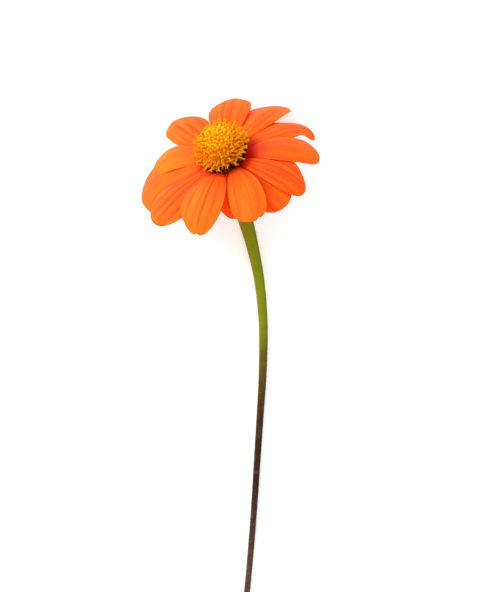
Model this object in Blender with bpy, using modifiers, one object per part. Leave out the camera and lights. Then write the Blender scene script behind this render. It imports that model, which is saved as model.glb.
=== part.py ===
"""A mexican sunflower, cut and laid down: one bloom on its long bare stem.

The head is modelled upright, its axis along +Z and the foot of its ray petals at z = 0, and is
then tipped over on the end of the stem. Lengths are in millimetres and are scaled to metres as the
meshes are made.
"""

from math import cos, pi, radians, sin, sqrt, tau
from typing import NamedTuple

import bmesh
import bpy
from mathutils import Matrix, Vector

MM = 0.001
SHARP_ANGLE = radians(50)

# How the head sits on the ground
HEAD_LEAN = radians(22)
HEAD_TILT = radians(45)
HEAD_HEIGHT = 25.7
CENTRE_OF_WEIGHT = (0.0, -10.0, 20.0)
LEAST_DOWNWARD = 0.9

# The gap that neighbouring pieces keep
CLEARANCE = 0.3

# Ray petals
PETAL_THICKNESS = 0.62
PETAL_ROOT_RADIUS = 9.0
PETAL_CLAW = 0.24
PETAL_ARCH = 0.25
PETAL_ROWS = (0.0, 0.09, 0.19, 0.3, 0.42, 0.54, 0.66, 0.77, 0.86, 0.93, 0.97, 0.992)
PETAL_COLUMNS = 6
SPINE_STEPS = 60
NOTCH_DEPTH = 0.7
NOTCH_REACH = 12

# Disc of florets
DOME_RADIUS = 10.1
DOME_HALF_HEIGHT = 9.2
DOME_MIDDLE = 5.5
DOME_FOOT_RADIUS = 6.6
DOME_FOOT = 0.4
DOME_STEPS = 32
DOME_ROWS = 10
FLORET_COUNT = 150
FLORET_LOWEST = 5.1
FLORET_SIDES = 5
FLORET_ROOT_RADIUS = 0.5
FLORET_MOUTH_RADIUS = 0.9
FLORET_SUNK = 0.9
FLORET_STANDS_OUT = 1.5

# Receptacle and its ring of pales
WALL_FOOT_RADIUS = 4.0
WALL_FOOT = -8.8
WALL_LENGTH = 9.4
WALL_SLOPE = radians(20)
WALL_SWELL = radians(66)
WALL_POINTS = 12
WALL_STRIDES = 10
RIM_TOP = 0.1
RIM_RADIUS = 8.5
RECEPTACLE_STEPS = 32
PALE_COUNT = 28
PALE_RING_RADIUS = 7.8
PALE_LENGTH = 4.4
PALE_SUNK = 0.7
PALE_LEAN = radians(20)
PALE_HALF_WIDTH = 0.85
PALE_TIP_SHARE = 0.2
PALE_FLATNESS = 0.5

# Bracts of the cup under the head
BRACTS_IN_A_ROW = 6
BRACT_THICKNESS = 0.62
BRACT_ROWS = 6
BRACT_COLUMNS = 4
BRACT_START = 0.12
INNER_BRACT_END = 0.93
OUTER_BRACT_END = 0.8
BRACT_SPREAD = radians(54)
BRACT_FOOT_SHARE = 0.75
BRACT_FOOT_END = 0.25
BRACT_TAPER_START = 0.45
BRACT_TAPER_LENGTH = 0.6

# Stem, whose neck is given as (height, radius) along the head's axis
NECK = ((-9.15, 4.2), (-12.65, 3.7), (-17.15, 3.35))
STEM_BEVEL_RESOLUTION = 4
STEM_SAMPLES = 4


class RayPetal(NamedTuple):
    """One ray petal, as it is seen from above the head.

    Angles are in degrees, lengths in millimetres. `lift` is the height of its layer, `rise` the
    slope at which it leaves the head, `droop` how far that slope falls towards the tip, `sweep`
    how far it bends sideways, `widest` how far out its widest place is, and `bluntness` how
    squarely it ends.
    """

    azimuth: float
    length: float
    width: float
    lift: float
    rise: float
    droop: float
    sweep: float
    widest: float = 0.6
    bluntness: float = 2.8


RAY_PETALS = (
    RayPetal(68, 26.4, 17.3, 0.3, 29, 71, 3, 0.66, 3.2),
    RayPetal(38, 34.4, 12.0, -0.4, 15, 71, 0, 0.56, 1.75),
    RayPetal(14, 37.2, 11.0, -1.15, 11, 77, 8, 0.56, 1.9),
    RayPetal(-17, 32.0, 12.5, 0.0, 21, 80, 3, 0.66),
    RayPetal(-43, 30.5, 12.5, -0.45, 14, 60, -10),
    RayPetal(-66, 26.6, 16.6, -1.45, 3, 36, 10),
    RayPetal(-80, 28.5, 15.0, 0.0, 18, 53, -28, 0.62, 3.0),
    RayPetal(-103, 20.9, 9.4, -1.2, 8, 49, 12),
    RayPetal(-123, 32.3, 17.4, 0.0, 30, 70, -11, 0.62, 2.2),
    RayPetal(-155, 31.4, 17.0, -0.55, 11, 28, -1, 0.6, 2.3),
    RayPetal(165, 32.4, 23.0, -1.2, 9, 62, 12, 0.58, 2.6),
    RayPetal(148, 24.2, 13.5, 0.0, 23, 69, 8),
    RayPetal(112.5, 27.0, 15.8, -1.3, 18, 44, -3, 0.62),
)


class Station(NamedTuple):
    """A point on the stem's middle line and the stem's radius there."""

    x: float
    y: float
    z: float
    radius: float


# From below the neck, where it bends down, to the cut end
STEM_STATIONS = (
    Station(6.4, -17.5, 8.5, 3.2),
    Station(8.8, -26.0, 5.7, 2.95),
    Station(11.2, -35.0, 4.3, 2.5),
    Station(14.0, -49.0, 3.5, 2.05),
    Station(15.5, -66.0, 2.9, 1.83),
    Station(15.35, -84.5, 2.45, 1.65),
    Station(14.35, -101.5, 2.1, 1.46),
    Station(13.15, -120.0, 1.8, 1.38),
    Station(11.85, -140.0, 1.6, 1.3),
    Station(10.25, -160.0, 1.4, 1.24),
    Station(8.0, -184.0, 1.2, 1.2),
)

ORANGE = (0.95, 0.21, 0.02)
GOLD = (1.0, 0.47, 0.01)
DARK_BROWN = (0.05, 0.03, 0.01)
LEAF_GREEN = (0.12, 0.17, 0.03)
PALE_GREEN = (0.26, 0.31, 0.08)
STEM_GREEN = (0.2, 0.2, 0.03)


def clear_scene():
    """Remove whatever the file holds."""
    for thing in list(bpy.data.objects):
        bpy.data.objects.remove(thing, do_unlink=True)


def make_material(name, colour, roughness):
    """Return a plain Principled material."""
    material = bpy.data.materials.new(name)
    material.use_nodes = True
    shader = material.node_tree.nodes["Principled BSDF"]
    shader.inputs["Base Color"].default_value = (*colour, 1.0)
    shader.inputs["Roughness"].default_value = roughness
    shader.inputs["Metallic"].default_value = 0.0
    return material


def new_object(name, data, material, collection, parent=None):
    """Link a new object that carries the data and the material."""
    thing = bpy.data.objects.new(name, data)
    data.materials.append(material)
    collection.objects.link(thing)
    thing.parent = parent
    return thing


def mesh_from(name, bm):
    """Turn a bmesh in millimetres into a mesh in metres."""
    bmesh.ops.scale(bm, vec=(MM, MM, MM), verts=bm.verts)
    mesh = bpy.data.meshes.new(name)
    bm.to_mesh(mesh)
    bm.free()
    mesh.shade_smooth()
    mesh.set_sharp_from_angle(angle=SHARP_ANGLE)
    return mesh


def bent_sheet(name, rows, columns, place):
    """Make a grid whose points are moved to place(row, across), with across from -1 to 1."""
    bm = bmesh.new()
    bmesh.ops.create_grid(bm, x_segments=columns, y_segments=rows - 1, size=1.0)
    for vert in bm.verts:
        row = round((vert.co.y + 1.0) / 2.0 * (rows - 1))
        vert.co = place(row, vert.co.x)
    bmesh.ops.triangulate(bm, faces=bm.faces)
    return mesh_from(name, bm)


def thicken(thing, thickness):
    """Give a sheet its thickness, half to each side."""
    solidify = thing.modifiers.new("Thickness", "SOLIDIFY")
    solidify.thickness = thickness * MM
    solidify.offset = 0.0


def petal_half_width(petal, along):
    """Return half the petal's width at the share `along` of its length."""
    if along < petal.widest:
        swell = sin(along / petal.widest * pi / 2)
        share = PETAL_CLAW + (1 - PETAL_CLAW) * swell
    else:
        past = (along - petal.widest) / (1 - petal.widest)
        share = sqrt(max(0.0, 1 - past ** petal.bluntness))
    return share * petal.width / 2


def petal_direction(petal, along):
    """Return the midrib's direction at a share of its length, and the direction across it."""
    slope = radians(petal.rise - petal.droop * along)
    heading = radians(petal.sweep * along)
    forward = Vector((cos(slope) * cos(heading), cos(slope) * sin(heading), sin(slope)))
    return forward, Vector((-sin(heading), cos(heading), 0.0))


def petal_spine(petal, along):
    """Return the midrib's point at a share of its length, with its two directions there."""
    point = Vector((PETAL_ROOT_RADIUS, 0.0, petal.lift))
    stride = petal.length * along / SPINE_STEPS
    for step in range(SPINE_STEPS):
        forward, _ = petal_direction(petal, along * (step + 0.5) / SPINE_STEPS)
        point += forward * stride
    return point, *petal_direction(petal, along)


def make_petal(name, petal, material, collection, parent):
    """Make one ray petal: narrow at its claw, arched across, notched at its tip."""
    spine = [petal_spine(petal, along) for along in PETAL_ROWS]
    turn = Matrix.Rotation(radians(petal.azimuth), 3, "Z")

    def place(row, across):
        along = PETAL_ROWS[row]
        point, forward, side = spine[row]
        half = petal_half_width(petal, along)
        down = side.cross(forward)
        notch = NOTCH_DEPTH * along ** NOTCH_REACH * (1 - cos(across * PETAL_COLUMNS * pi / 2)) / 2
        edge = side * across * half + down * PETAL_ARCH * across * across * half
        return turn @ (point + edge - forward * notch)

    sheet = bent_sheet(name, len(PETAL_ROWS), PETAL_COLUMNS, place)
    thing = new_object(name, sheet, material, collection, parent)
    thicken(thing, PETAL_THICKNESS)
    return thing


def turned_mesh(name, profile, steps):
    """Turn a profile about the Z axis and return the finished mesh."""
    outline = bpy.data.meshes.new(name + "_profile")
    points = [(radius * MM, 0.0, height * MM) for radius, height in profile]
    outline.from_pydata(points, [(i, i + 1) for i in range(len(points) - 1)], [])
    blank = bpy.data.objects.new(name + "_blank", outline)
    bpy.context.scene.collection.objects.link(blank)
    screw = blank.modifiers.new("Turn", "SCREW")
    screw.steps = steps
    screw.render_steps = steps
    screw.use_merge_vertices = True
    screw.merge_threshold = 0.00001
    mesh = bpy.data.meshes.new_from_object(blank.evaluated_get(bpy.context.evaluated_depsgraph_get()))
    bpy.data.objects.remove(blank, do_unlink=True)
    return mesh


def tapered_prism(name, sides, foot_radius, top_radius, length, place):
    """Make a prism that stands on z = 0 before it is placed, and return its object."""
    bm = bmesh.new()
    bmesh.ops.create_cone(
        bm, cap_ends=True, segments=sides, radius1=foot_radius, radius2=top_radius, depth=length,
        matrix=Matrix.Translation((0.0, 0.0, length / 2)))
    bmesh.ops.transform(bm, matrix=place, verts=bm.verts)
    return bpy.data.objects.new(name, mesh_from(name, bm))


def fuse(thing, pieces):
    """Join the pieces to the object, which isn't placed yet, by one union, and remove them."""
    group = bpy.data.collections.new(thing.name + "_pieces")
    bpy.context.scene.collection.children.link(group)
    for piece in pieces:
        group.objects.link(piece)
    union = thing.modifiers.new("Fuse", "BOOLEAN")
    union.operation = "UNION"
    union.operand_type = "COLLECTION"
    union.solver = "EXACT"
    union.collection = group
    bpy.context.view_layer.update()
    fused = bpy.data.meshes.new_from_object(thing.evaluated_get(bpy.context.evaluated_depsgraph_get()))
    thing.modifiers.remove(union)
    materials = [slot.material for slot in thing.material_slots]
    thing.data = fused
    fused.materials.clear()
    fused.materials.append(materials[0])
    for piece in pieces:
        bpy.data.objects.remove(piece, do_unlink=True)
    bpy.data.collections.remove(group)


def dome_point(height):
    """Return the core's radius at a height over the petals, and its outward direction there."""
    share = (height - DOME_MIDDLE) / DOME_HALF_HEIGHT
    radius = DOME_RADIUS * sqrt(max(0.0, 1 - share * share))
    outward = Vector((radius / DOME_RADIUS ** 2, 0.0, share / DOME_HALF_HEIGHT))
    return radius, outward.normalized()


def dome_profile():
    """Return the core's profile, from its top down the outer side to the middle of its foot."""
    top = DOME_MIDDLE + DOME_HALF_HEIGHT
    profile = [(0.0, top)]
    for row in range(1, DOME_ROWS + 1):
        height = DOME_MIDDLE + DOME_HALF_HEIGHT * cos(pi / 2 * row / DOME_ROWS)
        profile.append((dome_point(height)[0], height))
    profile += [(DOME_FOOT_RADIUS, DOME_FOOT), (0.0, DOME_FOOT)]
    return profile


def floret_seats():
    """Return a place for each floret, spaced evenly over the dome in a sunflower spiral."""
    golden_angle = pi * (3 - sqrt(5))
    top = DOME_MIDDLE + DOME_HALF_HEIGHT
    seats = []
    for index in range(FLORET_COUNT):
        height = top - (index + 0.5) / FLORET_COUNT * (top - FLORET_LOWEST)
        radius, outward = dome_point(height)
        root = Vector((radius, 0.0, height)) - outward * FLORET_SUNK
        lean = outward.to_track_quat("Z", "Y").to_matrix().to_4x4()
        turn = Matrix.Rotation(index * golden_angle, 4, "Z")
        seats.append(turn @ Matrix.Translation(root) @ lean)
    return seats


def make_disc_florets(material, collection, parent):
    """Make the dome of disc florets: a core with a flared five-sided floret on each seat."""
    core = turned_mesh("disc_florets", dome_profile(), DOME_STEPS)
    disc = new_object("disc_florets", core, material, collection)
    length = FLORET_SUNK + FLORET_STANDS_OUT
    florets = [
        tapered_prism(f"floret_{index}", FLORET_SIDES, FLORET_ROOT_RADIUS, FLORET_MOUTH_RADIUS,
                      length, seat)
        for index, seat in enumerate(floret_seats())]
    fuse(disc, florets)
    disc.parent = parent


def wall_slope(share):
    """Return the wall's slope at a share of its length: flat, then steep, then flat again."""
    return WALL_SLOPE + WALL_SWELL * sin(pi * share)


def wall_path():
    """Return the cup's wall as (radius, height, slope) from its foot to under its rim."""
    radius, height = WALL_FOOT_RADIUS, WALL_FOOT
    path = [(radius, height, wall_slope(0.0))]
    stride = WALL_LENGTH / WALL_POINTS / WALL_STRIDES
    for point in range(WALL_POINTS):
        for step in range(WALL_STRIDES):
            slope = wall_slope((point + (step + 0.5) / WALL_STRIDES) / WALL_POINTS)
            radius += cos(slope) * stride
            height += sin(slope) * stride
        path.append((radius, height, wall_slope((point + 1) / WALL_POINTS)))
    return path


def make_receptacle(material, collection, parent):
    """Make the solid base of the head, with the ring of pointed pales on its rim."""
    wall = [(radius, height) for radius, height, _ in reversed(wall_path())]
    profile = [(0.0, RIM_TOP), (RIM_RADIUS, RIM_TOP), *wall, (0.0, WALL_FOOT)]
    base = turned_mesh("receptacle", profile, RECEPTACLE_STEPS)
    receptacle = new_object("receptacle", base, material, collection)
    flat = Matrix.Diagonal((PALE_FLATNESS, 1.0, 1.0, 1.0))
    square_up = Matrix.Rotation(pi / 4, 4, "Z")
    lean = Matrix.Rotation(PALE_LEAN, 4, "Y")
    foot = Matrix.Translation((PALE_RING_RADIUS, 0.0, RIM_TOP - PALE_SUNK))
    pales = []
    for index in range(PALE_COUNT):
        turn = Matrix.Rotation(tau * index / PALE_COUNT, 4, "Z")
        pales.append(tapered_prism(
            f"pale_{index}", 4, PALE_HALF_WIDTH, PALE_HALF_WIDTH * PALE_TIP_SHARE, PALE_LENGTH,
            turn @ foot @ lean @ flat @ square_up))
    fuse(receptacle, pales)
    receptacle.parent = parent


def wall_at(share, offset):
    """Return radius and height at a share of the wall's length, moved out from it by offset."""
    path = wall_path()
    place = share * WALL_POINTS
    index = min(int(place), WALL_POINTS - 1)
    part = place - index
    radius, height, slope = (a + (b - a) * part for a, b in zip(path[index], path[index + 1]))
    return radius + sin(slope) * offset, height - cos(slope) * offset


def bract_spread(share):
    """Return a bract's half angle: wider above its foot, then drawn in to a point."""
    foot = BRACT_FOOT_SHARE + (1 - BRACT_FOOT_SHARE) * min(1.0, share / BRACT_FOOT_END)
    past = max(0.0, share - BRACT_TAPER_START) / BRACT_TAPER_LENGTH
    return BRACT_SPREAD / 2 * foot * sqrt(max(0.0, 1 - past))


def make_bract(name, turn, offset, end, material, collection, parent):
    """Make one bract, a curved plate that follows the cup's wall at an offset."""
    def place(row, across):
        share = row / BRACT_ROWS
        radius, height = wall_at(BRACT_START + (end - BRACT_START) * share, offset)
        angle = turn + across * bract_spread(share)
        return Vector((radius * cos(angle), radius * sin(angle), height))

    sheet = bent_sheet(name, BRACT_ROWS + 1, BRACT_COLUMNS, place)
    thing = new_object(name, sheet, material, collection, parent)
    thicken(thing, BRACT_THICKNESS)
    return thing


def make_bracts(inner_green, outer_green, collection, parent):
    """Make the two rows of bracts, the outer ones over the gaps of the inner ones."""
    inner_offset = CLEARANCE + BRACT_THICKNESS / 2
    outer_offset = inner_offset + CLEARANCE + BRACT_THICKNESS
    for index in range(BRACTS_IN_A_ROW):
        turn = tau * index / BRACTS_IN_A_ROW
        make_bract(f"inner_bract_{index + 1}", turn + tau / BRACTS_IN_A_ROW / 2, inner_offset,
                   INNER_BRACT_END, inner_green, collection, parent)
        make_bract(f"outer_bract_{index + 1}", turn, outer_offset,
                   OUTER_BRACT_END, outer_green, collection, parent)


def smooth_route(stations):
    """Return points on a smooth curve through the stations."""
    points = [Vector(station) for station in stations]
    first = points[0] * 2 - points[1]
    last = points[-1] * 2 - points[-2]
    padded = [first, *points, last]
    route = []
    for index in range(len(points) - 1):
        before, start, end, after = padded[index:index + 4]
        for step in range(STEM_SAMPLES):
            t = step / STEM_SAMPLES
            route.append(0.5 * (
                2 * start + (end - before) * t
                + (2 * before - 5 * start + 4 * end - after) * t * t
                + (3 * start - before - 3 * end + after) * t * t * t))
    route.append(points[-1])
    return route


def make_stem(head_pose, material, collection, parent):
    """Make the stem: a tube that leaves the head along its axis and bends down to the ground."""
    neck = [Station(*(head_pose @ Vector((0.0, 0.0, height))), radius) for height, radius in NECK]
    route = smooth_route([*neck, *STEM_STATIONS])
    curve = bpy.data.curves.new("stem", "CURVE")
    curve.dimensions = "3D"
    curve.bevel_depth = MM
    curve.bevel_resolution = STEM_BEVEL_RESOLUTION
    curve.use_fill_caps = True
    spline = curve.splines.new("POLY")
    spline.points.add(len(route) - 1)
    for point, (x, y, z, radius) in zip(spline.points, route):
        point.co = (x * MM, y * MM, z * MM, 1.0)
        point.radius = radius
    spline.use_smooth = True
    return new_object("stem", curve, material, collection, parent)


def world_points(collection):
    """Return every vertex of the finished pieces in world space."""
    graph = bpy.context.evaluated_depsgraph_get()
    points = []
    for thing in collection.objects:
        if thing.type in {"MESH", "CURVE"}:
            solid = thing.evaluated_get(graph)
            points += [solid.matrix_world @ vert.co for vert in solid.to_mesh().vertices]
            solid.to_mesh_clear()
    return points


def resting_face(points, weight):
    """Return the downward normal of the hull's face that lies under the point of weight."""
    hull = bmesh.new()
    for point in points:
        hull.verts.new(point)
    bmesh.ops.convex_hull(hull, input=hull.verts)
    for face in hull.faces:
        corners = [vert.co for vert in face.verts]
        if face.normal.z < -LEAST_DOWNWARD and len(corners) == 3:
            sides = [
                (corners[i - 2] - corners[i - 1]).cross(weight - corners[i - 1]).dot(face.normal)
                for i in range(3)]
            if min(sides) >= 0 or max(sides) <= 0:
                return face.normal.copy()
    return Vector((0.0, 0.0, -1.0))


def lay_down(flower, collection):
    """Turn the flower onto its three lowest points and put the origin under its middle."""
    bpy.context.view_layer.update()
    normal = resting_face(world_points(collection), Vector(CENTRE_OF_WEIGHT) * MM)
    flower.rotation_mode = "QUATERNION"
    flower.rotation_quaternion = normal.rotation_difference(Vector((0.0, 0.0, -1.0)))
    bpy.context.view_layer.update()
    points = world_points(collection)
    low = Vector([min(point[axis] for point in points) for axis in range(3)])
    high = Vector([max(point[axis] for point in points) for axis in range(3)])
    middle = (low + high) / 2
    flower.location = (-middle.x, -middle.y, -low.z)
    bpy.context.view_layer.update()


def build():
    """Build the flower."""
    clear_scene()
    parts = bpy.data.collections.new("mexican_sunflower")
    bpy.context.scene.collection.children.link(parts)
    flower = bpy.data.objects.new("flower", None)
    head = bpy.data.objects.new("head", None)
    for empty in (flower, head):
        parts.objects.link(empty)
    head.parent = flower
    head_pose = (
        Matrix.Translation((0.0, 0.0, HEAD_HEIGHT))
        @ Matrix.Rotation(HEAD_LEAN, 4, "Z")
        @ Matrix.Rotation(-HEAD_TILT, 4, "X"))
    head.matrix_local = Matrix.Scale(MM, 4) @ head_pose @ Matrix.Scale(1 / MM, 4)

    orange = make_material("ray_petal_orange", ORANGE, 0.5)
    for index, petal in enumerate(RAY_PETALS):
        make_petal(f"ray_petal_{index + 1:02d}", petal, orange, parts, head)
    make_disc_florets(make_material("floret_gold", GOLD, 0.6), parts, head)
    make_receptacle(make_material("receptacle_brown", DARK_BROWN, 0.7), parts, head)
    make_bracts(make_material("inner_bract_green", PALE_GREEN, 0.6),
                make_material("outer_bract_green", LEAF_GREEN, 0.6), parts, head)
    make_stem(head_pose, make_material("stem_green", STEM_GREEN, 0.6), parts, flower)
    lay_down(flower, parts)


build()
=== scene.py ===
"""Dresses the laid-down mexican sunflower in its real petals, florets, bracts and stem."""

import logging
from dataclasses import dataclass
from enum import Enum
from functools import cache
from math import cos, pi, radians, sin, tau

import bpy
import numpy as np
from mathutils import Matrix, Vector


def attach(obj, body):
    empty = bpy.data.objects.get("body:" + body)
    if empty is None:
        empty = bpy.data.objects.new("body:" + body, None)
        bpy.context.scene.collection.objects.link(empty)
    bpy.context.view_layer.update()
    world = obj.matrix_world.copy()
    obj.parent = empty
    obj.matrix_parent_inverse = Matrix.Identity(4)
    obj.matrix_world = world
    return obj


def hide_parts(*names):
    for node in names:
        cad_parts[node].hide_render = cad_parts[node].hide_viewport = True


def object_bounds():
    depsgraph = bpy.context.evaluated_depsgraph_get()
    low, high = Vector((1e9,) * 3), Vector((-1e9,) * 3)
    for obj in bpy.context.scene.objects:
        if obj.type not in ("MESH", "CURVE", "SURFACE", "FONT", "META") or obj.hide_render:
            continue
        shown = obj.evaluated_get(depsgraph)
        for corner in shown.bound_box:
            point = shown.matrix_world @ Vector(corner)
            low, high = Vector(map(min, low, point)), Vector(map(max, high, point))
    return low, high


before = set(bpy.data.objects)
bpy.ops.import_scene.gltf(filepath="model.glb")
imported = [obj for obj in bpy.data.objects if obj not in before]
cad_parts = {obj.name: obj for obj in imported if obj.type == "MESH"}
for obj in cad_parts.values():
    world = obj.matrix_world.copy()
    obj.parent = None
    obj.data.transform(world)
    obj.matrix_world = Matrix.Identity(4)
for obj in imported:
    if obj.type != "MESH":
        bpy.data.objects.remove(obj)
CAD_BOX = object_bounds()

log = logging.getLogger("mexican_sunflower")

MM = 0.001
BODY = "root"
GOLDEN_ANGLE = pi * (3 - 5 ** 0.5)
BRACTS_IN_ROW = 6
TINY = 1e-9

Colour = tuple[float, float, float]
Stops = tuple[tuple[float, Colour], ...]
Profile = tuple[tuple[float, float, float], ...]
Lofted = tuple[np.ndarray, list, np.ndarray]


def linear(red: int, green: int, blue: int) -> Colour:
    """Turn a screen colour of 0 to 255 into the linear colour that a shader takes."""
    shares = (channel / 255 for channel in (red, green, blue))
    return tuple(s / 12.92 if s <= 0.04045 else ((s + 0.055) / 1.055) ** 2.4 for s in shares)


@dataclass(frozen=True)
class Term:
    """A node's output that sums, differences and products can be written with."""

    wiring: "Wiring"
    socket: bpy.types.NodeSocket

    def __add__(self, other: object) -> "Term":
        """Return the sum."""
        return self.wiring.math("ADD", self, other)

    def __sub__(self, other: object) -> "Term":
        """Return this less the other."""
        return self.wiring.math("SUBTRACT", self, other)

    def __rsub__(self, other: object) -> "Term":
        """Return the other less this."""
        return self.wiring.math("SUBTRACT", other, self)

    def __mul__(self, other: object) -> "Term":
        """Return the product."""
        return self.wiring.math("MULTIPLY", self, other)

    def __truediv__(self, other: object) -> "Term":
        """Return this divided by the other."""
        return self.wiring.math("DIVIDE", self, other)


@dataclass(frozen=True)
class Outputs:
    """A node's outputs, taken by name or place."""

    wiring: "Wiring"
    node: bpy.types.Node

    def __getitem__(self, key: str | int) -> Term:
        """Return one output."""
        return Term(self.wiring, self.node.outputs[key])


class Wiring:
    """Adds nodes to one shader or geometry tree and links them as they are added."""

    def __init__(self, tree: bpy.types.NodeTree) -> None:
        """Keep the tree that the nodes go into."""
        self.tree = tree

    @classmethod
    def start(cls, kind: str, name: str, inputs: dict[str, str],
              outputs: dict[str, str]) -> tuple["Wiring", Outputs]:
        """Start a node group.

        Args:
            kind: The tree's type name.
            name: The group's name.
            inputs: The type of each input, by its name.
            outputs: The type of each output, by its name.

        Returns:
            The wiring, and the group's inputs as its input node puts them out.
        """
        tree = bpy.data.node_groups.new(name, kind)
        for way, sockets in (("INPUT", inputs), ("OUTPUT", outputs)):
            for label, socket in sockets.items():
                tree.interface.new_socket(label, in_out=way, socket_type="NodeSocket" + socket)
        wiring = cls(tree)
        return wiring, wiring.add("NodeGroupInput")

    def feed(self, node: bpy.types.Node, inputs: dict[str | int, object]) -> None:
        """Link or set a node's inputs.

        Args:
            node: The node.
            inputs: A term to link or a constant to hold, by the input's name or place.
        """
        for key, value in inputs.items():
            socket = node.inputs[key]
            if isinstance(value, Term):
                self.tree.links.new(value.socket, socket)
            elif socket.type == "RGBA":
                socket.default_value = (*value, 1.0)[:4]
            else:
                socket.default_value = value

    def add(self, kind: str, inputs: dict[str | int, object] | None = None,
            **settings: object) -> Outputs:
        """Add a node.

        Args:
            kind: The node's type name.
            inputs: What feeds each input, by the input's name or place.
            settings: The node's own properties.

        Returns:
            The new node's outputs.
        """
        node = self.tree.nodes.new(kind)
        for name, value in settings.items():
            setattr(node, name, value)
        self.feed(node, inputs or {})
        return Outputs(self, node)

    def math(self, operation: str, *values: object, clamp: bool = False) -> Term:
        """Return the result of a math node."""
        return self.add("ShaderNodeMath", dict(enumerate(values)), operation=operation,
                        use_clamp=clamp)[0]

    def vector(self, operation: str, *values: object) -> Term:
        """Return the result of a vector math node."""
        return self.add("ShaderNodeVectorMath", dict(enumerate(values)), operation=operation)[0]

    def scaled(self, vector: Term, factor: Term) -> Term:
        """Return a vector times a number."""
        return self.add("ShaderNodeVectorMath", {0: vector, "Scale": factor}, operation="SCALE")[0]

    def point(self, *axes: object) -> Term:
        """Return the vector of three numbers."""
        return self.add("ShaderNodeCombineXYZ", dict(enumerate(axes)))[0]

    def noise(self, place: Term, detail: float, scale: object = 1.0) -> Term:
        """Return a noise texture's value."""
        return self.add("ShaderNodeTexNoise", {
            "Vector": place, "Scale": scale, "Detail": detail})[0]

    def mix(self, share: object, first: object, second: object) -> Term:
        """Return a colour mixed from two."""
        return self.add("ShaderNodeMix", {0: share, 6: first, 7: second}, data_type="RGBA")[2]

    def layers(self, colour: object, *layers: tuple[Term, Colour]) -> Term:
        """Lay colours over one another.

        Args:
            colour: The lowest colour.
            layers: The share and the colour of each layer, from below.

        Returns:
            The colour on top.
        """
        for share, over in layers:
            colour = self.mix(share, colour, over)
        return colour

    def ramp(self, share: Term, stops: Stops) -> Term:
        """Read a colour off a ramp.

        Args:
            share: What the ramp reads, from 0 to 1.
            stops: The place and linear colour of each stop, in order.

        Returns:
            The ramp's colour.
        """
        outputs = self.add("ShaderNodeValToRGB", {0: share})
        elements = outputs.node.color_ramp.elements
        while len(elements) < len(stops):
            elements.new(1.0)
        for element, (place, colour) in zip(elements, stops):
            element.position = place
            element.color = (*colour, 1.0)
        return outputs[0]

    def band(self, value: Term, low: float, high: float) -> Term:
        """Return how far a value is from low to high, smoothed and held between 0 and 1."""
        return self.add("ShaderNodeMapRange", {0: value, 1: low, 2: high},
                        interpolation_type="SMOOTHSTEP")[0]

    def attribute(self, name: str) -> Term:
        """Return a number that the mesh carries."""
        return self.add("ShaderNodeAttribute", attribute_name=name)["Fac"]

    def sheet_place(self) -> tuple[Term, Term]:
        """Return how far along and across its own sheet a point is, from the UV map."""
        split = self.add("ShaderNodeSeparateXYZ", {
            0: self.add("ShaderNodeUVMap", uv_map="sheet")[0]})
        return split[0], split[1]


class SurfaceEffects:
    """The shader node groups that several finishes share, each built once.

    A pair of scales is along and across the piece. Limits are where a mask starts and is full.
    """

    WANDER_SCALES = (2.5, 3.0)
    STREAK_SCALE = 2.2
    BAND_SCALES = (1.4, 0.45)
    GRAIN_SCALE = 14.0
    STREAK_SEED = 7.0
    BAND_SEED = 19.0
    LINE_WIDTH = 0.55
    STREAK_LIMITS = (0.32, 0.62)
    BAND_LIMITS = (0.34, 0.66)

    @classmethod
    @cache
    def veins(cls) -> bpy.types.NodeTree:
        """Build the group for fine veins that run the length of a petal, a bract or the stem.

        Returns:
            The group: Vein is thin lines, Streak fine streaks and Band broad ones.
        """
        wiring, given = Wiring.start(
            "ShaderNodeTree", "lengthwise veins",
            dict.fromkeys(("Along", "Across", "Count", "Wander", "Seed"), "Float"),
            dict.fromkeys(("Vein", "Streak", "Band"), "Float"))
        along, across = given["Along"], given["Across"]
        count, seed = given["Count"], given["Seed"]
        wander_along, wander_across = cls.WANDER_SCALES
        band_along, band_across = cls.BAND_SCALES
        wander = wiring.noise(wiring.point(along * wander_along, across * wander_across, seed), 2.0)
        lane = (across + (wander - 0.5) * given["Wander"]) * count
        line = 1.0 - wiring.band(
            wiring.math("ABSOLUTE", wiring.math("SINE", lane * pi)), 0.0, cls.LINE_WIDTH)
        streak = wiring.noise(wiring.point(
            along * cls.STREAK_SCALE, across * count, seed + cls.STREAK_SEED), 3.0)
        broad = wiring.noise(wiring.point(
            along * band_along, across * (count * band_across), seed + cls.BAND_SEED), 1.0)
        wiring.add("NodeGroupOutput", {
            "Vein": line * wiring.band(streak, *cls.STREAK_LIMITS), "Streak": streak,
            "Band": wiring.band(broad, *cls.BAND_LIMITS)})
        return wiring.tree

    @classmethod
    @cache
    def mottle(cls) -> bpy.types.NodeTree:
        """Build the group for soft uneven patches and a fine grain over a piece.

        Returns:
            The group; Spread is how much of the noise the patches take in.
        """
        wiring, given = Wiring.start(
            "ShaderNodeTree", "mottle", dict.fromkeys(("Scale", "Spread"), "Float"),
            dict.fromkeys(("Patch", "Grain"), "Float"))
        place = wiring.add("ShaderNodeTexCoord")["Object"]
        patch = (wiring.noise(place, 2.0, given["Scale"]) - 0.5) / given["Spread"]
        wiring.add("NodeGroupOutput", {
            "Patch": wiring.math("ADD", patch, 0.5, clamp=True),
            "Grain": wiring.noise(place, 3.0, given["Scale"] * cls.GRAIN_SCALE)})
        return wiring.tree


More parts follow.
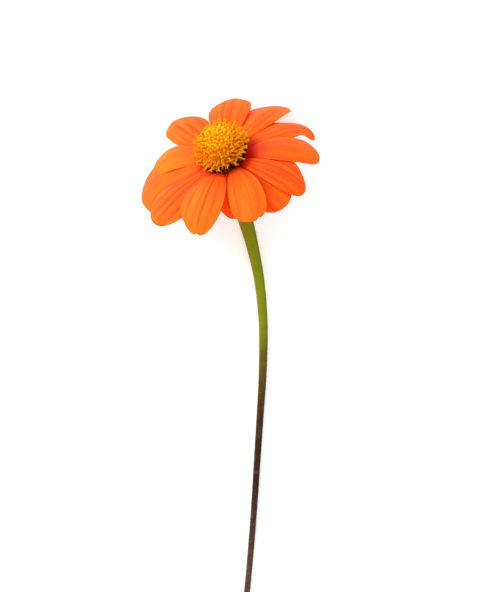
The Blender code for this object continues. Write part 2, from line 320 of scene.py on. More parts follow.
@dataclass(frozen=True)
class Finish:
    """What every finish has: a name and the plain values of its shader.

    glow_through is the share of light that passes into the tissue, glow_depth how many
    millimetres deep, red further than green and blue as tissue_radii says.
    """

    name: str
    roughness: float = 0.5
    specular: float = 0.35
    sheen: float = 0.0
    glow_through: float = 0.0
    glow_depth: float = 0.8
    tissue_radii: Colour = (1.0, 0.3, 0.08)

    def material(self) -> bpy.types.Material:
        """Build the material once.

        Returns:
            The material, new or found.
        """
        found = bpy.data.materials.get(self.name)
        if found:
            return found
        material = bpy.data.materials.new(self.name)
        material.use_nodes = True
        wiring = Wiring(material.node_tree)
        shader = material.node_tree.nodes["Principled BSDF"]
        wiring.feed(shader, {
            "Roughness": self.roughness, "Specular IOR Level": self.specular,
            "Sheen Weight": self.sheen, "Subsurface Weight": self.glow_through,
            "Subsurface Radius": self.tissue_radii, "Subsurface Scale": self.glow_depth * MM})
        wiring.feed(shader, self.paint(wiring))
        return material

    def paint(self, wiring: Wiring) -> dict[str, object]:
        """Return what feeds the shader's pattern; each finish has its own."""
        raise NotImplementedError

    @staticmethod
    def mottle(wiring: Wiring, scale: float, spread: float = 0.5) -> Outputs:
        """Place the mottle group with its values."""
        return wiring.add("ShaderNodeGroup", {"Scale": scale, "Spread": spread},
                          node_tree=SurfaceEffects.mottle())

    @staticmethod
    def veins(wiring: Wiring, along: Term, across: Term, count: float, wander: float,
              seed: object = 0.0) -> Outputs:
        """Place the vein group with its values.

        Args:
            wiring: The material's wiring.
            along: How far along the piece a point is.
            across: How far across it.
            count: How many veins lie across it.
            wander: How far they stray.
            seed: What sets one piece's pattern off from another's.

        Returns:
            The group's outputs.
        """
        return wiring.add("ShaderNodeGroup", {
            "Along": along, "Across": across, "Count": count, "Wander": wander, "Seed": seed},
            node_tree=SurfaceEffects.veins())

    @staticmethod
    def bump(wiring: Wiring, height: Term, depth: float, strength: float = 0.5) -> Term:
        """Return the normal of a relief that is depth millimetres deep."""
        return wiring.add("ShaderNodeBump", {
            "Height": height, "Distance": depth * MM, "Strength": strength})[0]


@dataclass(frozen=True)
class PetalFinish(Finish):
    """Satin orange with fine veins: rosy where it faces up the picture, a painted sheen, rosier on
    the crests of its folds, a painted highlight, and redder in their grooves, painted shade.
    Scarlet at the root and under its neighbours is painted shade, and crimson at some roots is the
    disc's painted shadow.

    blush_weights say how far the patches, the way to the tip, the broad bands and the fine
    streaks turn amber to rose. A share is how strongly a colour is laid over those below it, and
    limits are where it starts and is full. glossier and duller are how far the streaks change
    the roughness.
    """

    # Rose is the petals' own rosy tone, and also their painted sheen and the painted highlight on
    # the crests of their folds.
    rose: Colour = linear(255, 94, 32)
    amber: Colour = linear(255, 119, 4)
    # Flame is the petals' own redness, and also the painted shade in the grooves of their folds.
    flame: Colour = linear(250, 76, 8)
    # Scarlet is painted as shade at the root and under the neighbours, and it is also the veins'
    # colour.
    scarlet: Colour = linear(240, 34, 2)
    # Crimson is the disc's shadow, painted across the roots.
    shadow_crimson: Colour = linear(196, 10, 2)
    vein_count: float = 15.0
    vein_wander: float = 0.05
    patch_scale: float = 90.0
    patch_spread: float = 0.4
    tone_seeds: float = 40.0
    blush_weights: tuple[float, ...] = (0.5, 0.7, 0.6, 0.9)
    root_shade_limits: tuple[float, float] = (-0.05, 0.25)
    groove_shade_full: float = -1.1
    disc_shadow_full: float = 0.9
    crest_highlight_share: float = 0.45
    ruddy_share: float = 0.9
    painted_shade_share: float = 0.8
    vein_share: float = 0.22
    glossier: float = 0.08
    duller: float = 0.1
    relief_depth: float = 0.12
    relief_strength: float = 0.6

    def paint(self, wiring: Wiring) -> dict[str, object]:
        """Lay the folds with their painted highlight and shade, the painted shade of the root, the
        disc's painted shadow and the veins over amber and rose.

        Args:
            wiring: The material's wiring.

        Returns:
            What feeds the shader.
        """
        along, across = wiring.sheet_place()
        veins = self.veins(wiring, along, across, self.vein_count, self.vein_wander,
                           wiring.attribute("tone") * self.tone_seeds)
        patch = self.mottle(wiring, self.patch_scale, self.patch_spread)["Patch"]
        patterns = (patch, 1.0 - along, veins["Band"], veins["Streak"])
        # Painted sheen: rose where the petal faces up the picture, with the petal's own patches,
        # bands and streaks added.
        sheen_blush, fold = wiring.attribute("sheen_blush"), wiring.attribute("fold")
        for pattern, weight in zip(patterns, self.blush_weights):
            sheen_blush = sheen_blush + (pattern - 0.5) * weight
        sheen_blush = wiring.math("MAXIMUM", wiring.math("MINIMUM", sheen_blush, 1.0), 0.0)
        # Painted shade: scarlet at the root and where the petal lies under its neighbours.
        deep = wiring.math("ADD", wiring.attribute("tucked_shade"),
                           1.0 - wiring.band(along, *self.root_shade_limits), clamp=True)
        colour = wiring.layers(
            wiring.mix(sheen_blush, self.amber, self.rose),
            # painted highlight: rose on the crests of the folds
            (wiring.band(fold, 0.0, 1.0) * self.crest_highlight_share, self.rose),
            # painted shade: flame in the grooves of the folds
            (wiring.band(fold, 0.0, self.groove_shade_full), self.flame),
            (wiring.attribute("ruddy") * (veins["Band"] * 0.5 + 0.5) * self.ruddy_share,
             self.flame),
            # painted shade at the root and under the neighbours
            (deep * self.painted_shade_share, self.scarlet),
            # the disc's painted shadow, crimson at the root
            (wiring.band(wiring.attribute("flush"), 0.0, self.disc_shadow_full), self.shadow_crimson),
            (veins["Vein"] * self.vein_share, self.scarlet))
        gloss = wiring.add("ShaderNodeMapRange", {
            0: veins["Streak"], 3: self.roughness - self.glossier,
            4: self.roughness + self.duller})[0]
        relief = veins["Streak"] * 0.6 - veins["Vein"] * 0.5
        return {"Base Color": colour, "Roughness": gloss,
                "Normal": self.bump(wiring, relief, self.relief_depth, self.relief_strength)}


@dataclass(frozen=True)
class FloretFinish(Finish):
    """A small part's colour from its foot to its tip, with grain.

    ripening is how far the shaded side of the disc is painted in the throat's lighter colour, as
    painted shade.
    """

    foot: Colour = linear(255, 140, 0)
    throat: Colour = linear(255, 172, 0)
    tip: Colour = linear(250, 154, 0)
    turn_low: float = 0.35
    turn_high: float = 0.9
    shade_tint_share: float = 0.75
    patch_scale: float = 260.0
    unevenness: float = 0.3
    grain_depth: float = 0.06

    def paint(self, wiring: Wiring) -> dict[str, object]:
        """Turn the colour up the floret, a little unevenly.

        Args:
            wiring: The material's wiring.

        Returns:
            What feeds the shader.
        """
        mottle = self.mottle(wiring, self.patch_scale)
        shaken = wiring.math("ADD", wiring.attribute("reach"),
                             (mottle["Patch"] - 0.5) * self.unevenness, clamp=True)
        colour = wiring.ramp(shaken, (
            (0.0, self.foot), (self.turn_low, self.throat), (self.turn_high, self.tip)))
        # Painted shade: the shaded side of the disc takes the throat's colour.
        shade_tint = wiring.attribute("shade_tint") * self.shade_tint_share
        return {"Base Color": wiring.mix(shade_tint, colour, self.throat),
                "Normal": self.bump(wiring, mottle["Grain"], self.grain_depth)}


@dataclass(frozen=True)
class GreenFinish(Finish):
    """A bract: green with paler veins, a pale dry margin and a brownish tip."""

    body: Colour = linear(98, 118, 42)
    deep: Colour = linear(58, 80, 26)
    margin: Colour = linear(186, 190, 128)
    tip: Colour = linear(120, 96, 48)
    vein_count: float = 7.0
    vein_wander: float = 0.04
    patch_scale: float = 240.0
    margin_from: float = 0.72
    tip_from: float = 0.86
    vein_share: float = 0.35
    margin_share: float = 0.8
    tip_share: float = 0.7
    relief_depth: float = 0.12
    relief_strength: float = 0.7

    def paint(self, wiring: Wiring) -> dict[str, object]:
        """Lay the veins, the margin and the tip over the green.

        Args:
            wiring: The material's wiring.

        Returns:
            What feeds the shader.
        """
        along, across = wiring.sheet_place()
        veins = self.veins(wiring, along, across, self.vein_count, self.vein_wander)
        mottle = self.mottle(wiring, self.patch_scale)
        side = wiring.math("ABSOLUTE", across * 2.0 - 1.0)
        green = wiring.layers(
            wiring.mix(mottle["Patch"], self.deep, self.body),
            (veins["Vein"] * self.vein_share, self.margin),
            (wiring.band(side, self.margin_from, 1.0) * self.margin_share, self.margin),
            (wiring.band(along, self.tip_from, 1.0) * self.tip_share, self.tip))
        relief = veins["Vein"] + mottle["Grain"] * 0.5
        return {"Base Color": green,
                "Normal": self.bump(wiring, relief, self.relief_depth, self.relief_strength)}


@dataclass(frozen=True)
class StemFinish(Finish):
    """The stem's colour from the head to the cut end, with faint lengthwise lines.

    The green part is warmer on one side, a painted reflection of the petals, and darker on the
    other, painted shade; the brown part has pale scurf, and the cut face shows its pith.
    """

    stops: Stops = (
        (0.0, linear(134, 134, 14)),
        (0.14, linear(140, 148, 4)),
        (0.26, linear(144, 166, 0)),
        (0.34, linear(138, 152, 2)),
        (0.41, linear(116, 114, 8)),
        (0.47, linear(96, 78, 12)),
        (0.54, linear(66, 36, 4)),
        (0.7, linear(46, 16, 6)),
        (0.9, linear(90, 62, 50)),
        (1.0, linear(92, 66, 54)))
    dark_line: Colour = linear(54, 34, 24)
    pith: Colour = linear(206, 204, 150)
    reflected_warm_side: Colour = linear(150, 112, 22)
    shaded_cool_side: Colour = linear(62, 78, 6)
    scurf: Colour = linear(140, 112, 92)
    line_count: float = 16.0
    line_wander: float = 0.02
    line_length: float = 9.0
    patch_scale: float = 150.0
    scurf_scale: float = 420.0
    unevenness: float = 0.05
    green_limits: tuple[float, float] = (0.3, 0.5)
    side_from: float = 0.35
    side_width: float = 2.8
    scurf_limits: tuple[float, float] = (0.5, 0.8)
    scurf_place: tuple[float, float] = (0.45, 0.75)
    streak_share: float = 0.35
    vein_share: float = 0.12
    side_share: float = 0.55
    scurf_share: float = 0.24
    grain_depth: float = 0.08

    def paint(self, wiring: Wiring) -> dict[str, object]:
        """Lay the lines, the painted reflection and shade of the two sides, the scurf and the cut
        face over the stem's colour.

        Args:
            wiring: The material's wiring.

        Returns:
            What feeds the shader.
        """
        along, around = wiring.sheet_place()
        mottle = self.mottle(wiring, self.patch_scale)
        veins = self.veins(wiring, along * self.line_length, around, self.line_count,
                           self.line_wander)
        shaken = wiring.math("ADD", along, (mottle["Patch"] - 0.5) * self.unevenness, clamp=True)
        green = 1.0 - wiring.band(along, *self.green_limits)
        # Painted light and shade: a warm painted reflection of the petals on one side of the green
        # part, painted shade on the other.
        side = wiring.math("COSINE", around * tau)
        warm, cool = (wiring.band(side, low, low * self.side_width) * green * self.side_share
                      for low in (self.side_from, -self.side_from))
        worn = wiring.band(self.mottle(wiring, self.scurf_scale)["Patch"], *self.scurf_limits)
        skin = wiring.layers(
            wiring.ramp(shaken, self.stops),
            (veins["Streak"] * self.streak_share, self.dark_line),
            (veins["Vein"] * self.vein_share, self.pith),
            (warm, self.reflected_warm_side),
            (cool, self.shaded_cool_side),
            (worn * wiring.band(along, *self.scurf_place) * self.scurf_share, self.scurf),
            (wiring.attribute("cut"), self.pith))
        relief = veins["Vein"] * 0.5 + mottle["Grain"]
        return {"Base Color": skin, "Normal": self.bump(wiring, relief, self.grain_depth)}


@dataclass(frozen=True)
class FloorFinish(Finish):
    """A plain pale floor with the faintest unevenness.

    It gives off a little light of its own, so that it stays as white as the photo's background
    and the flower's shadow on it stays faint.
    """

    pale: Colour = (0.95, 0.95, 0.95)
    paler: Colour = (0.97, 0.97, 0.97)
    cool: Colour = (0.84, 0.98, 0.99)
    cooler: Colour = (0.86, 1.0, 1.0)
    glow: float = 0.36
    patch_scale: float = 3.0

    def paint(self, wiring: Wiring) -> dict[str, object]:
        """Mix the floor's near whites and its glow.

        Args:
            wiring: The material's wiring.

        Returns:
            What feeds the shader.
        """
        patch = self.mottle(wiring, self.patch_scale, 1.0)["Patch"]
        return {"Base Color": wiring.mix(patch, self.pale, self.paler),
                "Emission Strength": self.glow,
                "Emission Color": wiring.mix(patch, self.cool, self.cooler)}


def mesh_points(mesh: bpy.types.Mesh) -> np.ndarray:
    """Return a mesh's vertices.

    Args:
        mesh: The mesh.

    Returns:
        Its vertices in the mesh's own lengths, one to a row.
    """
    points = np.zeros(len(mesh.vertices) * 3, np.float32)
    mesh.vertices.foreach_get("co", points)
    return points.reshape(-1, 3)


def node_points(name: str) -> np.ndarray:
    """Return the vertices of a CAD node in metres."""
    return mesh_points(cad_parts[name].data).astype(float)


def carry(mesh: bpy.types.Mesh, numbers: dict[str, np.ndarray]) -> None:
    """Write a number for each vertex.

    Args:
        mesh: The mesh that carries them.
        numbers: The numbers, by attribute name.
    """
    for label, values in numbers.items():
        layer = mesh.attributes.new(label, "FLOAT", "POINT")
        layer.data.foreach_set("value", np.asarray(values, np.float32))


def linked(name: str, data: bpy.types.ID) -> bpy.types.Object:
    """Put data into the scene.

    Args:
        name: The object's name.
        data: Its mesh, light or camera.

    Returns:
        The new object.
    """
    thing = bpy.data.objects.new(name, data)
    bpy.context.scene.collection.objects.link(thing)
    return thing


@dataclass(frozen=True)
class HeadPose:
    """Where the head and the whole flower lie, found from the frame.

    The six outer bracts stand in a ring about the head's axis, the first of them at its +X side,
    and the disc's foot is a known height over the foot of the petals.
    """

    lean: float = radians(22)
    tilt: float = radians(45)
    height: float = 25.7
    disc_foot: float = 0.4

    def head(self) -> Matrix:
        """Find the head from the bracts and the disc.

        Returns:
            The turn and place from head millimetres to the frame's metres.
        """
        centres = np.array([
            node_points(f"outer_bract_{i + 1}").mean(0) for i in range(BRACTS_IN_ROW)])
        middle = centres.mean(0)
        side = centres[0] - middle
        side /= np.linalg.norm(side)
        axis = np.cross(side, centres[1] - middle)
        axis /= np.linalg.norm(axis)
        heights = (node_points("disc_florets") - middle) @ axis
        origin = middle + axis * (heights.min() - self.disc_foot * MM)
        turn = Matrix(np.column_stack([side, np.cross(axis, side), axis]).tolist()).to_4x4()
        return Matrix.Translation(origin.tolist()) @ turn @ Matrix.Scale(MM, 4)

    def flower(self) -> Matrix:
        """Find the flower as it was modelled, before it was laid down.

        Returns:
            The same for lengths measured from the ground under the head.
        """
        upright = (Matrix.Translation((0.0, 0.0, self.height)) @ Matrix.Rotation(self.lean, 4, "Z")
                   @ Matrix.Rotation(-self.tilt, 4, "X"))
        return self.head() @ upright.inverted()


def make_object(name: str, points: np.ndarray, faces: list, placed: Matrix, finish: Finish,
                numbers: dict[str, np.ndarray] | None = None,
                sheet: np.ndarray | None = None) -> bpy.types.Object:
    """Make a smooth mesh object at the origin.

    Args:
        name: The piece's name.
        points: Its vertices in millimetres.
        faces: Its faces, as lists of vertex numbers.
        placed: What takes the millimetres to the frame.
        finish: Its finish.
        numbers: A number for each vertex, by attribute name.
        sheet: How far along and across each vertex is, for the UV map.

    Returns:
        The new object.
    """
    mesh = bpy.data.meshes.new(name)
    mesh.from_pydata(points.tolist(), [], faces)
    carry(mesh, numbers or {})
    if sheet is not None:
        corners = np.zeros(len(mesh.loops), np.int32)
        mesh.loops.foreach_get("vertex_index", corners)
        layer = mesh.uv_layers.new(name="sheet")
        layer.data.foreach_set("uv", sheet[corners].astype(np.float32).ravel())
    mesh.transform(placed)
    mesh.shade_smooth()
    mesh.materials.append(finish.material())
    return linked(name, mesh)


def shape_object(name: str, points: np.ndarray, faces: list,
                 reach: np.ndarray) -> bpy.types.Object:
    """Make the small shape that a tree copies.

    Args:
        name: The shape's name.
        points: Its vertices.
        faces: Its faces, as lists of vertex numbers.
        reach: How far up the shape each vertex is, which it carries.

    Returns:
        The new object.
    """
    mesh = bpy.data.meshes.new(name)
    mesh.from_pydata(points.tolist(), [], faces)
    carry(mesh, {"reach": reach})
    mesh.shade_smooth()
    return linked(name, mesh)


def grid_normals(points: np.ndarray) -> np.ndarray:
    """Return the unit normals of a curved grid of rows by columns by 3."""
    normal = np.cross(np.gradient(points, axis=0), np.gradient(points, axis=1))
    return normal / (np.linalg.norm(normal, axis=-1, keepdims=True) + TINY)


def grid_quads(index: np.ndarray) -> np.ndarray:
    """Return the quads of a grid of vertex numbers."""
    corners = [index[:-1, :-1], index[1:, :-1], index[1:, 1:], index[:-1, 1:]]
    return np.stack(corners, -1).reshape(-1, 4)


def closed_sheet(middle: np.ndarray, thickness: np.ndarray) -> Lofted:
    """Give a curved grid its thickness, thinning to nothing along its rim.

    Args:
        middle: The grid's points, rows by columns by 3.
        thickness: How thick the sheet is at each point.

    Returns:
        The vertices, the faces and each vertex's place in the grid as (row, column) shares.
    """
    rows, columns, _ = middle.shape
    normal = grid_normals(middle)
    inside = np.zeros((rows, columns), bool)
    inside[1:-1, 1:-1] = True
    half = np.where(inside, thickness / 2, 0.0)[..., None]
    upper = np.arange(rows * columns).reshape(rows, columns)
    lower = upper.copy()
    lower[inside] = rows * columns + np.arange(inside.sum())
    points = np.concatenate([
        (middle + normal * half).reshape(-1, 3), (middle - normal * half)[inside]])
    shares = np.meshgrid(np.linspace(0, 1, rows), np.linspace(0, 1, columns), indexing="ij")
    share = np.stack(shares, -1)
    sheet = np.concatenate([share.reshape(-1, 2), share[inside]])
    corners = {0, columns - 1, (rows - 1) * columns, rows * columns - 1}

    def cut(face: list[int]) -> list[list[int]]:
        """Cut a corner's quad through its corner, so that the two sides share no triangle.

        Args:
            face: A quad's vertex numbers.

        Returns:
            The quad alone, or the corner's two triangles.
        """
        first = next((place for place, index in enumerate(face) if index in corners), None)
        if first is None:
            return [face]
        corner, after, inner, before = face[first:] + face[:first]
        return [[corner, after, inner], [corner, inner, before]]

    quads = np.concatenate([grid_quads(upper), grid_quads(lower)[:, ::-1]]).tolist()
    return points, [piece for face in quads for piece in cut(face)], sheet


def both_sides(values: np.ndarray) -> np.ndarray:
    """Return a grid's values in the order of closed_sheet's vertices."""
    return np.concatenate([values.ravel(), values[1:-1, 1:-1].ravel()])


@dataclass(frozen=True)
class Petal:
    """One ray petal: where it stands, its outline, and how it rises, droops and sweeps.

    Angles are in degrees and lengths in millimetres, as on the CAD solid of the same number.
    The last eight are the finished petal's own: how much wider it runs under its neighbours on its
    two sides, how far its tip curls sideways, the places across its tip where it is notched, how
    deep its folds are, how red it is, how far to one side its tip lies, and how far up from its
    root the disc's shadow is painted in crimson.
    """

    azimuth: float
    length: float
    width: float
    lift: float
    rise: float
    droop: float
    sweep: float
    widest: float = 0.6
    bluntness: float = 2.8
    under_before: float = 0.0
    under_after: float = 0.0
    curl: float = 0.0
    notches: tuple[float, ...] = (-0.18, 0.2)
    creased: float = 0.7
    ruddy: float = 0.0
    skew: float = 0.0
    flush: float = 0.1

    CURL_FROM = 0.62
    CURL_POWER = 1.5

    def under(self, across: np.ndarray) -> np.ndarray:
        """Return how much wider the petal runs under its neighbour on each side."""
        return np.where(across > 0, self.under_before, self.under_after)

    def swell(self, along: np.ndarray, claw: float) -> np.ndarray:
        """Return the half width that the petal has reached, full from its widest place on."""
        grown = np.sin(np.clip(along / self.widest, 0, 1) * pi / 2)
        return self.width / 2 * (claw + (1 - claw) * grown)

    def close(self, along: np.ndarray) -> np.ndarray:
        """Return the share of the full width that is left towards the tip."""
        past = np.clip((along - self.widest) / (1 - self.widest), 0, 1)
        return np.sqrt(1 - past ** self.bluntness)

    def end(self, across: np.ndarray) -> np.ndarray:
        """Find how far along the petal ends.

        Args:
            across: Shares of the half width, from -1 to 1.

        Returns:
            The share of the length at each of them.
        """
        leaned = across - self.skew * (1 - across ** 2)
        left = np.clip(1 - leaned ** 2, 0, 1) ** (1 / self.bluntness)
        return self.widest + (1 - self.widest) * left

    def spine(self, along: np.ndarray, root_radius: float, steps: int = 440) -> list[np.ndarray]:
        """Find the midrib, which starts a tenth of the length behind the root.

        Args:
            along: Shares of the length.
            root_radius: Where the petal leaves the head.
            steps: How many steps the midrib is followed in.

        Returns:
            The midrib's points, directions and sideways directions.
        """
        share = np.linspace(-0.1, 1, steps + 1)
        bent = np.clip((share - self.CURL_FROM) / (1 - self.CURL_FROM), 0, 1) ** self.CURL_POWER
        slope = np.radians(self.rise - self.droop * share)
        heading = np.radians(self.sweep * share + self.curl * bent)
        forward = np.stack([
            np.cos(slope) * np.cos(heading), np.cos(slope) * np.sin(heading), np.sin(slope)], -1)
        stride = (forward[1:] + forward[:-1]) / 2 * self.length * (share[1] - share[0])
        points = np.concatenate([np.zeros((1, 3)), np.cumsum(stride, 0)])
        points += np.array([root_radius, 0.0, self.lift]) - points[steps // 11]
        side = np.stack([-np.sin(heading), np.cos(heading), np.zeros_like(heading)], -1)
        return [np.stack([np.interp(along, share, line[:, axis]) for axis in range(3)], -1)
                for line in (points, forward, side)]


@dataclass
class RayPetals:
    """The thirteen ray petals, pleated along their length and notched at the tip.

    Every second fold is a deep one. A fold's height and width, and the share of the length where
    it has faded out, are drawn from the ranges given here.
    """

    pose: HeadPose
    root_radius: float = 9.0
    claw: float = 0.4
    root_inward: float = 2.1
    root_taper: float = 6.0
    tuck_end: float = 0.85
    arch: float = 0.25
    length_kept: float = 0.992
    thickness: float = 0.34
    notch_depth: float = 0.022
    notch_width: float = 0.08
    fold_count: int = 9
    fold_span: float = 0.78
    fold_shift: float = 0.06
    deep_fold: tuple[float, float] = (-0.3, -0.1)
    low_fold: tuple[float, float] = (0.02, 0.14)
    fold_end: tuple[float, float] = (0.75, 1.3)
    fold_width: tuple[float, float] = (0.05, 0.1)
    fold_fade: float = 0.3
    fold_reach: float = 1.05
    fold_rise: float = 0.4
    fold_waver: float = 0.04
    fold_unit: float = 0.2
    flutter: float = 0.2
    flutter_waves: tuple[float, float] = (6, 9)
    flutter_offset: float = 2.5
    thinner_across: float = 0.55
    thinner_along: float = 0.35
    # Scarlet is painted as shade where a petal lies under its neighbours, fading out from the root.
    tucked_from: float = 0.55
    tucked_width: float = 0.35
    tucked_full: float = 1.5
    tucked_root: float = 1.25
    tucked_fade: float = 1.5
    # Rose is painted as a sheen where a petal faces up the picture, between these two limits.
    sheen_facing_from: float = 0.35
    sheen_facing_width: float = 0.8
    rows: int = 72
    columns: int = 45
    seed: int = 5
    finish: PetalFinish = PetalFinish(
        "petal orange", roughness=0.55, specular=0.12, glow_through=0.2)
    petals: tuple[Petal, ...] = (
        Petal(68, 26.4, 17.3, 0.3, 29, 71, 3, 0.66, 3.2, notches=(0.3,), creased=0.6, ruddy=0.55,
              skew=0.1),
        Petal(38, 34.4, 12.0, -0.4, 15, 71, 0, 0.56, 1.55, 1.7, 0.6, 0, (0.3,), 0.8, 0.15, -0.16),
        Petal(14, 36.8, 11.0, -1.15, 11, 77, 8, 0.5, 0.72, 1.8, 1.4, -84, (), 0.6, 0.5, -0.35,
              0.34),
        Petal(-17, 32.0, 12.5, 0.0, 21, 80, 3, 0.66, 3.4, 0.0, 0.8, 0, (), 0.4, 0.6, -0.35, 0.46),
        Petal(-43, 30.5, 12.5, -0.45, 14, 60, -10, 0.6, 2.0, 2.2, 0.0, -8, (), 1.9, 1.0, -0.3,
              0.22),
        Petal(-66, 26.6, 16.6, -1.45, 3, 36, 10, under_before=1.0, notches=(), creased=1.1,
              ruddy=0.9),
        Petal(-80, 28.5, 15.0, 0.0, 18, 53, -28, 0.62, 3.0, notches=(0.45,), creased=0.5,
              ruddy=0.5),
        Petal(-103, 20.9, 9.4, -1.2, 8, 49, 12, under_before=1.2, under_after=1.2, notches=(),
              ruddy=0.8),
        Petal(-123, 32.3, 17.4, 0.0, 30, 70, -11, 0.62, 1.85, 0.3, 0.8, 0, (0.24,), 1.0, 0.2, 0.26),
        Petal(-155, 31.4, 17.0, -0.55, 11, 28, -1, 0.6, 2.05, 0.8, 1.0, 0, (), 1.0, 0.6, 0.2),
        Petal(165, 32.7, 23.4, -0.9, 9, 62, 12, 0.58, 3.3, 1.4, 0.8, 0, (0.8,), 0.6, 0.5, 0.28,
              0.16),
        Petal(148, 24.2, 13.5, -0.4, 22, 69, 8, notches=(), creased=0.4),
        Petal(112.5, 27.4, 15.8, -1.3, 18, 44, -3, 0.62, 2.6, 0.0, 0.8, 0, (-0.1,), 0.8, 0.3, 0.25))

    def pleats(self, along: np.ndarray, across: np.ndarray,
               random: np.random.Generator) -> np.ndarray:
        """Shape the folds.

        Args:
            along: Shares of the length.
            across: Shares of the half width, from -1 to 1.
            random: Where the folds' small differences come from.

        Returns:
            Their height in millimetres over the petal's middle surface.
        """
        fade = np.sin(pi * np.clip(along * self.fold_reach, 0, 1)) ** self.fold_rise
        height = np.zeros(along.shape)
        places = np.linspace(-self.fold_span, self.fold_span, self.fold_count) + random.uniform(
            -self.fold_shift, self.fold_shift, self.fold_count)
        for number, place in enumerate(places):
            size = random.uniform(*(self.deep_fold if number % 2 else self.low_fold))
            reach = np.clip((random.uniform(*self.fold_end) - along) / self.fold_fade, 0, 1)
            bend = place + self.fold_waver * np.sin(3.0 * along + random.uniform(0, 6))
            width = random.uniform(*self.fold_width)
            height += size * reach * np.exp(-((across - bend) / width) ** 2)
        return height * fade

    def surface(self, petal: Petal, random: np.random.Generator) -> tuple[np.ndarray, np.ndarray]:
        """Work out one petal.

        Args:
            petal: Its sizes.
            random: Where its small differences come from.

        Returns:
            Its middle surface in head millimetres and the height of its folds, over a grid.
        """
        across = np.linspace(-1, 1, self.columns)
        end = petal.end(across) * self.length_kept
        for place in petal.notches:
            end = end - self.notch_depth * np.exp(-((across - place) / self.notch_width) ** 2)
        share = np.linspace(-self.root_inward / petal.length, 1, self.rows)[:, None]
        along = share * end
        half = petal.swell(along, self.claw) * np.clip(1 + self.root_taper * along, 0.5, 1)
        tuck = np.sin(pi * np.clip(along / self.tuck_end, 0, 1)) * np.sqrt(np.abs(across))
        sideways = across * (half + petal.under(across) * tuck)
        point, forward, side = (line.reshape(*along.shape, 3)
                                for line in petal.spine(along.ravel(), self.root_radius))
        down = np.cross(side, forward)
        edge = np.clip(np.abs(sideways) / np.maximum(half * petal.close(along), 0.01), 0, 1)
        folds = self.pleats(along, across[None] + 0 * along, random) * petal.creased
        waves = along * random.uniform(*self.flutter_waves) + random.uniform(0, 6)
        waves = waves + self.flutter_offset * np.sign(across)
        lift = folds + self.flutter * np.sin(waves) * across ** 4 * np.sin(pi * share)
        sag = self.arch * edge * np.abs(sideways) - lift
        grid = point + side * sideways[..., None] + down * sag[..., None]
        return grid @ np.array(Matrix.Rotation(radians(petal.azimuth), 3, "Z")).T, folds

    def tucked_shade(self, petal: Petal, across: np.ndarray) -> np.ndarray:
        """Return how far each place of a grid lies under its neighbours, held between 0 and 1, the
        share of painted shade there.
        """
        depth = petal.under(across) / self.tucked_full * (np.abs(across) - self.tucked_from)
        return np.broadcast_to(np.clip(depth / self.tucked_width, 0, 1), (self.rows, self.columns))

    def sheen_blush(self, points: np.ndarray) -> np.ndarray:
        """Find where a petal takes a painted rosy sheen.

        Args:
            points: The petal's middle surface, as a grid.

        Returns:
            How far each place of it faces up the picture, held between 0 and 1.
        """
        turn = np.array(self.pose.head().to_3x3()) / MM
        upward = (grid_normals(points) @ turn.T)[..., 1]
        return np.clip((upward - self.sheen_facing_from) / self.sheen_facing_width, 0, 1)

    def build(self) -> list[bpy.types.Object]:
        """Make all the petals, fasten them to the body and hide the CAD petals in their place.

        Returns:
            The petals.
        """
        random = np.random.default_rng(self.seed)
        across = np.linspace(-1, 1, self.columns)[None]
        share = np.linspace(0, 1, self.rows)[:, None]
        thin = self.thickness * (1 - self.thinner_across * across ** 2)
        thin = thin * (1 - self.thinner_along * share)
        made = []
        for index, petal in enumerate(self.petals):
            grid, folds = self.surface(petal, random)
            points, faces, sheet = closed_sheet(grid, thin)
            tucked_shade = self.tucked_shade(petal, across) * np.clip(
                self.tucked_root - self.tucked_fade * share, 0, 1)
            numbers = {
                "tone": np.full(len(points), random.uniform(0, 1)),
                "ruddy": np.full(len(points), petal.ruddy),
                # the disc's painted shadow reaches this far up from the root
                "flush": both_sides(1 - share / petal.flush + 0 * across),
                "fold": both_sides(folds / self.fold_unit), "sheen_blush": both_sides(self.sheen_blush(grid)),
                "tucked_shade": both_sides(tucked_shade)}
            name = f"ray_petal_{index + 1:02d}_orange"
            piece = make_object(name, points, faces, self.pose.head(), self.finish, numbers, sheet)
            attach(piece, BODY)
            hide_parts(f"ray_petal_{index + 1:02d}")
            made.append(piece)
        log.info("%d ray petals", len(made))
        return made


def ring(radii: object, height: float, count: int) -> np.ndarray:
    """Make a level ring of points.

    Args:
        radii: The ring's radius, or one for each point.
        height: How high it lies.
        count: How many points it has.

    Returns:
        The points.
    """
    angle = np.arange(count) / count * tau
    radius = np.broadcast_to(np.asarray(radii, float), (count,))
    return np.stack([radius * np.cos(angle), radius * np.sin(angle), np.full(count, height)], -1)


def loft(rings: list[np.ndarray], shares: list[float]) -> Lofted:
    """Join rings of points, foot to top, into a closed mesh with a fan at each end.

    Args:
        rings: The rings, each an array of the same number of points.
        shares: How far up each ring is, from 0 to 1.

    Returns:
        The vertices, the faces and each vertex's share.
    """
    count = len(rings[0])
    points = np.concatenate([*rings, [rings[0].mean(0)], [rings[-1].mean(0)]])
    reach = np.concatenate([np.repeat(shares, count), [shares[0], shares[-1]]])
    pairs = [(i, (i + 1) % count) for i in range(count)]
    faces = [[low + i, low + j, low + count + j, low + count + i]
             for low in range(0, (len(rings) - 1) * count, count) for i, j in pairs]
    foot = len(rings) * count
    last = foot - count
    faces += [[foot, j, i] for i, j in pairs]
    faces += [[foot + 1, last + i, last + j] for i, j in pairs]
    return points, faces, reach


def turned(profile: Profile, sides: int, flat: float = 1.0) -> Lofted:
    """Turn a profile about the upright axis.

    Args:
        profile: The radius, the height and the share of each ring, from the foot.
        sides: How many sides the shape has.
        flat: Its depth as a share of its width.

    Returns:
        The vertices, the faces and each vertex's share.
    """
    rings = [ring(1.0, height, sides) * (radius, radius * flat, 1.0)
             for radius, height, _ in profile]
    return loft(rings, [share for *_, share in profile])


class FloretStage(Enum):
    """How far open a disc floret is."""

    BUD = "bud"
    OPENING = "opening"
    OPEN = "open"


